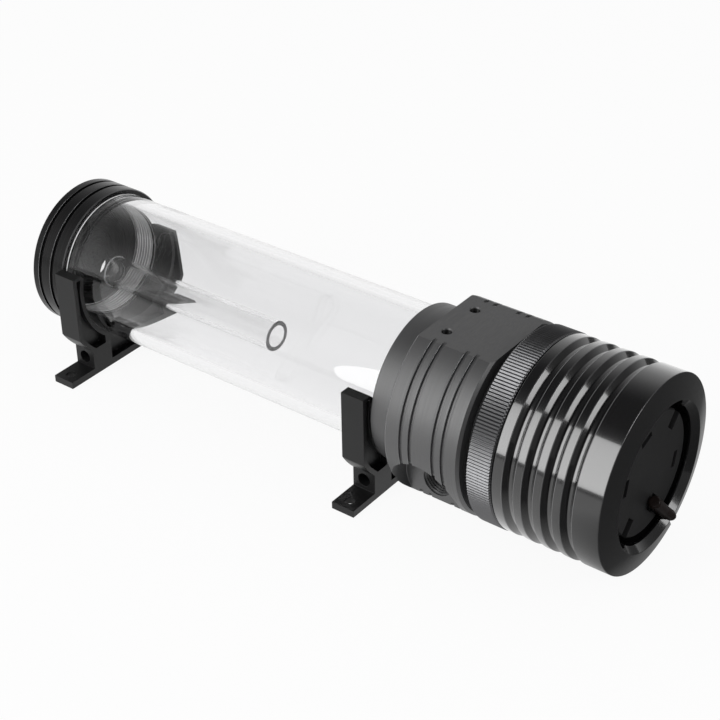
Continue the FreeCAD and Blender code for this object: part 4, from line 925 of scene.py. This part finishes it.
# %% Finned cover
COVER, COVER_RADIUS, COVER_LONG = RING + RING_LONG, 39.35, 44.7
COVER_END = COVER + COVER_LONG
MOUTH_RADIUS, MOUTH_LIP = 29.5, 2.2
CABLE_START = Vector((186.2, 5.6, 23.4))
CABLE_AIM = Vector((-0.12, 0.685, -0.717)).normalized()
STEP_RADIUS, STEP_LONG = 37.8, 0.7
FIN_FIRST, FIN_PITCH, FIN_COUNT = 4.8, 8.1, 4
FIN_CORNERS = ((0.0, 0.0, 0.6), (1.95, 2.1, 0.2), (3.05, 2.1, 0.2), (4.95, 0.0, 0.6))


def cover_outline():
    """The step, the grooves, the cone and the bevel of the mouth. A groove's corners are given as the place
    from its start, the depth and the rounding."""
    corners = [(COVER, SHELL_BORE, 0.2), (COVER, STEP_RADIUS, 0.0), (COVER + STEP_LONG, STEP_RADIUS, 0.1),
               (COVER + STEP_LONG, COVER_RADIUS, 0.25)]
    for index in range(FIN_COUNT):
        start = COVER + FIN_FIRST + FIN_PITCH * index
        corners += [(start + along, COVER_RADIUS - depth, rounding) for along, depth, rounding in FIN_CORNERS]
    corners += [(COVER_END, COVER_RADIUS, 0.3), (COVER_END + 2.6, MOUTH_RADIUS + 0.3, 0.25)]
    lip = MOUTH_RADIUS - MOUTH_LIP
    corners += [(COVER_END + 0.1, lip, 0.25), (COVER_END - 0.8, lip, 0.1)]
    corners += [(COVER_END - 0.8, SHELL_BORE, 0.1)]
    return rounded(corners, 5)


def cable_way():
    """Carries a box along the cable's first stretch: X along the cable, Z nearest to the reservoir's +X."""
    side = CABLE_AIM.cross(Vector((1.0, 0.0, 0.0))).normalized()
    top = side.cross(CABLE_AIM).normalized()
    turn = Matrix((CABLE_AIM, -side, top)).transposed().to_4x4()
    return Matrix.Translation(CABLE_START * MM) @ turn


def build_cover():
    cover = sweep("finned_cover", cover_outline(), 360)
    notch = flat_cutter("cut_notch", (8.0, -2.2, -2.3), (48.0, 2.2, 9.3))
    carve(cover, [turned_to(notch, cable_way())])
    crisp(stands_for(cover, "heatsink_cover", gloss_black), 38)
    # The rounded edges get the painted highlight.
    return cut_faces(cover, [edge_painted_highlight], lambda x, y, z: on_edge(y, z, COVER_RADIUS, 0.2))


told(build_cover())

# %% [markdown]
# A soft boot guides the cable out of the plate and fills the notch. It is swept along the cable, and then
# stretched towards the mouth by a share that grows with the length, so that its end is an upright oval.

# %% Cable boot
BOOT_LONG, BOOT_STRETCH, BOOT_LIFT = 12.0, 0.55, 1.2


def build_boot():
    """With s the share of the length, a point's height grows to (1 + stretch s) times itself, plus lift s."""
    corners = [(-9.0, 0.0, 0.0), (-9.0, 2.5, 1.8), (4.0, 2.5, 2.0), (12.9, 2.4, 0.5), (12.9, 0.0, 0.0)]
    boot = sweep("cable_boot", rounded(corners, 6), 64, 0.0, 0.0)
    place = np.zeros(len(boot.data.vertices) * 3)
    boot.data.vertices.foreach_get("co", place)
    place = place.reshape(-1, 3)
    share = np.clip(place[:, 0] / (BOOT_LONG * MM), 0.0, 1.0)
    place[:, 2] = place[:, 2] * (1.0 + BOOT_STRETCH * share) + BOOT_LIFT * MM * share
    boot.data.vertices.foreach_set("co", place.ravel())
    turned_to(boot, cable_way())
    return crisp(stands_for(boot, "cable_gland", boot_rubber), 40)


told(build_boot())

# %% [markdown]
# The clamps, the rear plate and the fill plug keep the shape of their solids. Each gets a merged copy of
# its mesh whose flat faces are joined up again, and a small bevel, because no moulded or milled edge is
# razor sharp.

# %% Copies with softened edges
def softened(node, name, material, width, angle=35.0, segments=3, flat=0.4):
    """A merged copy of a node, with its flat faces joined and its edges bevelled."""
    mesh = nodes[node].data.copy()
    mesh.name = name
    shape = bmesh.new()
    shape.from_mesh(mesh)
    bmesh.ops.remove_doubles(shape, verts=shape.verts, dist=2e-6)
    bmesh.ops.dissolve_limit(shape, angle_limit=math.radians(flat), verts=shape.verts, edges=shape.edges)
    shape.to_mesh(mesh)
    shape.free()
    mesh.shade_smooth()
    piece = bpy.data.objects.new(name, mesh)
    scene.collection.objects.link(piece)
    edge = piece.modifiers.new("edge", "BEVEL")
    edge.width = width * MM
    edge.segments = segments
    edge.limit_method = "ANGLE"
    edge.angle_limit = math.radians(angle)
    edge.miter_outer = "MITER_ARC"
    edge.harden_normals = False
    return crisp(stands_for(piece, node, material))


for node, name, material, width in (("clamp_cap_end", "clamp_far", clamp_black, 0.3),
                                    ("clamp_pump_end", "clamp_near", clamp_black, 0.3),
                                    ("rear_plate", "slotted_plate", plate_grey, 0.2),
                                    ("fill_plug", "stop_plug", cap_black, 0.15)):
    told(softened(node, name, material, width))

# %% [markdown]
# The cable runs in a braided sleeve. It leaves through the notch, lies down on the floor, and what the
# photograph doesn't show is wound into a coil behind the pump. One smooth spline carries all of it, down to
# the plug.

# %% Cable
CABLE_RADIUS = 2.1
COIL_RADIUS, CABLE_STEP, LYING = 23.1, 4.2, 2.3
COIL_CENTRE = np.array((120.0, 70.0))
FIRST_RUN = [
    tuple(CABLE_START),
    tuple(CABLE_START + CABLE_AIM * 25.5),
    (175.2, 25.9, 3.3),
    (160.0, 32.0, LYING),
    (149.5, 43.0, LYING),
    (143.6, 55.0, LYING),
]
LAST_RUN = [(110.8, 91.2, 6.4), (102.5, 89.6, 3.7), (95.0, 86.4, 3.7)]


def coil_points():
    """Turns side by side and then on top: the radius and the height are steps of the turn, softened by a
    ramp."""
    turns = np.arange(0.0, 3.33, 1.0 / 16.0)
    angle = np.radians(-10.0) + 2.0 * math.pi * turns

    def ramp(start):
        return np.clip((turns - start) / 0.3, 0.0, 1.0)

    radius = COIL_RADIUS - CABLE_STEP * ramp(0.85) + CABLE_STEP * ramp(2.75)
    height = LYING + CABLE_STEP * ramp(1.75)
    x, y = COIL_CENTRE[:, None] + radius * np.array((np.cos(angle), np.sin(angle)))
    return np.stack([x, y, height], 1).tolist()


FULL_TURN = 6.2832
STRANDS_ALONG, STRANDS_AROUND = 420.0, 12.0


def braided(name):
    """A braid: two families of slanting strands, as stripes of the angle plus and minus the length along."""
    material, tree, shader = new_material(name)
    place = add(tree, "ShaderNodeTexCoord")
    split = add(tree, "ShaderNodeSeparateXYZ")
    tree.links.new(place.outputs["UV"], split.inputs[0])
    along = math_node(tree, "MULTIPLY", split.outputs[0], STRANDS_ALONG)
    around = math_node(tree, "MULTIPLY", split.outputs[1], STRANDS_AROUND)
    families = []
    for slant in ("ADD", "SUBTRACT"):
        phase = math_node(tree, "MULTIPLY", math_node(tree, slant, along, around), FULL_TURN)
        families.append(math_node(tree, "SINE", phase))
    strands = math_node(tree, "MAXIMUM", *families)
    tree.links.new(shades(tree, spread(tree, strands, 0.0, 1.0, -0.4, 1.0), (0.010, 0.008, 0.007),
                          (0.050, 0.040, 0.036)), shader.inputs["Base Color"])
    shader.inputs["Roughness"].default_value = 0.6
    bump(tree, shader, strands, 0.15, 0.6)
    return material


def build_cable():
    points = [*FIRST_RUN, *coil_points(), *LAST_RUN]
    curve = bpy.data.curves.new("power_cable", "CURVE")
    curve.dimensions = "3D"
    spline = curve.splines.new("NURBS")
    spline.points.add(len(points) - 1)
    flat = np.ones((len(points), 4))
    flat[:, :3] = np.array(points) * MM
    spline.points.foreach_set("co", flat.ravel())
    spline.order_u = 3
    spline.use_endpoint_u = True
    spline.resolution_u = 8
    curve.bevel_depth = CABLE_RADIUS * MM
    curve.bevel_resolution = 5
    curve.use_fill_caps = True
    cable = bpy.data.objects.new("power_cable", curve)
    scene.collection.objects.link(cable)
    curve.materials.append(braided("cable_braid"))
    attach(cable, "reservoir")
    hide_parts("pump_cable", "cable_coil", "cable_tail")
    return cable


build_cable()

# %% [markdown]
# Last, the picture is shown through the Standard view transform, without a film curve.

# %% Finish
scene.view_settings.view_transform = "Standard"
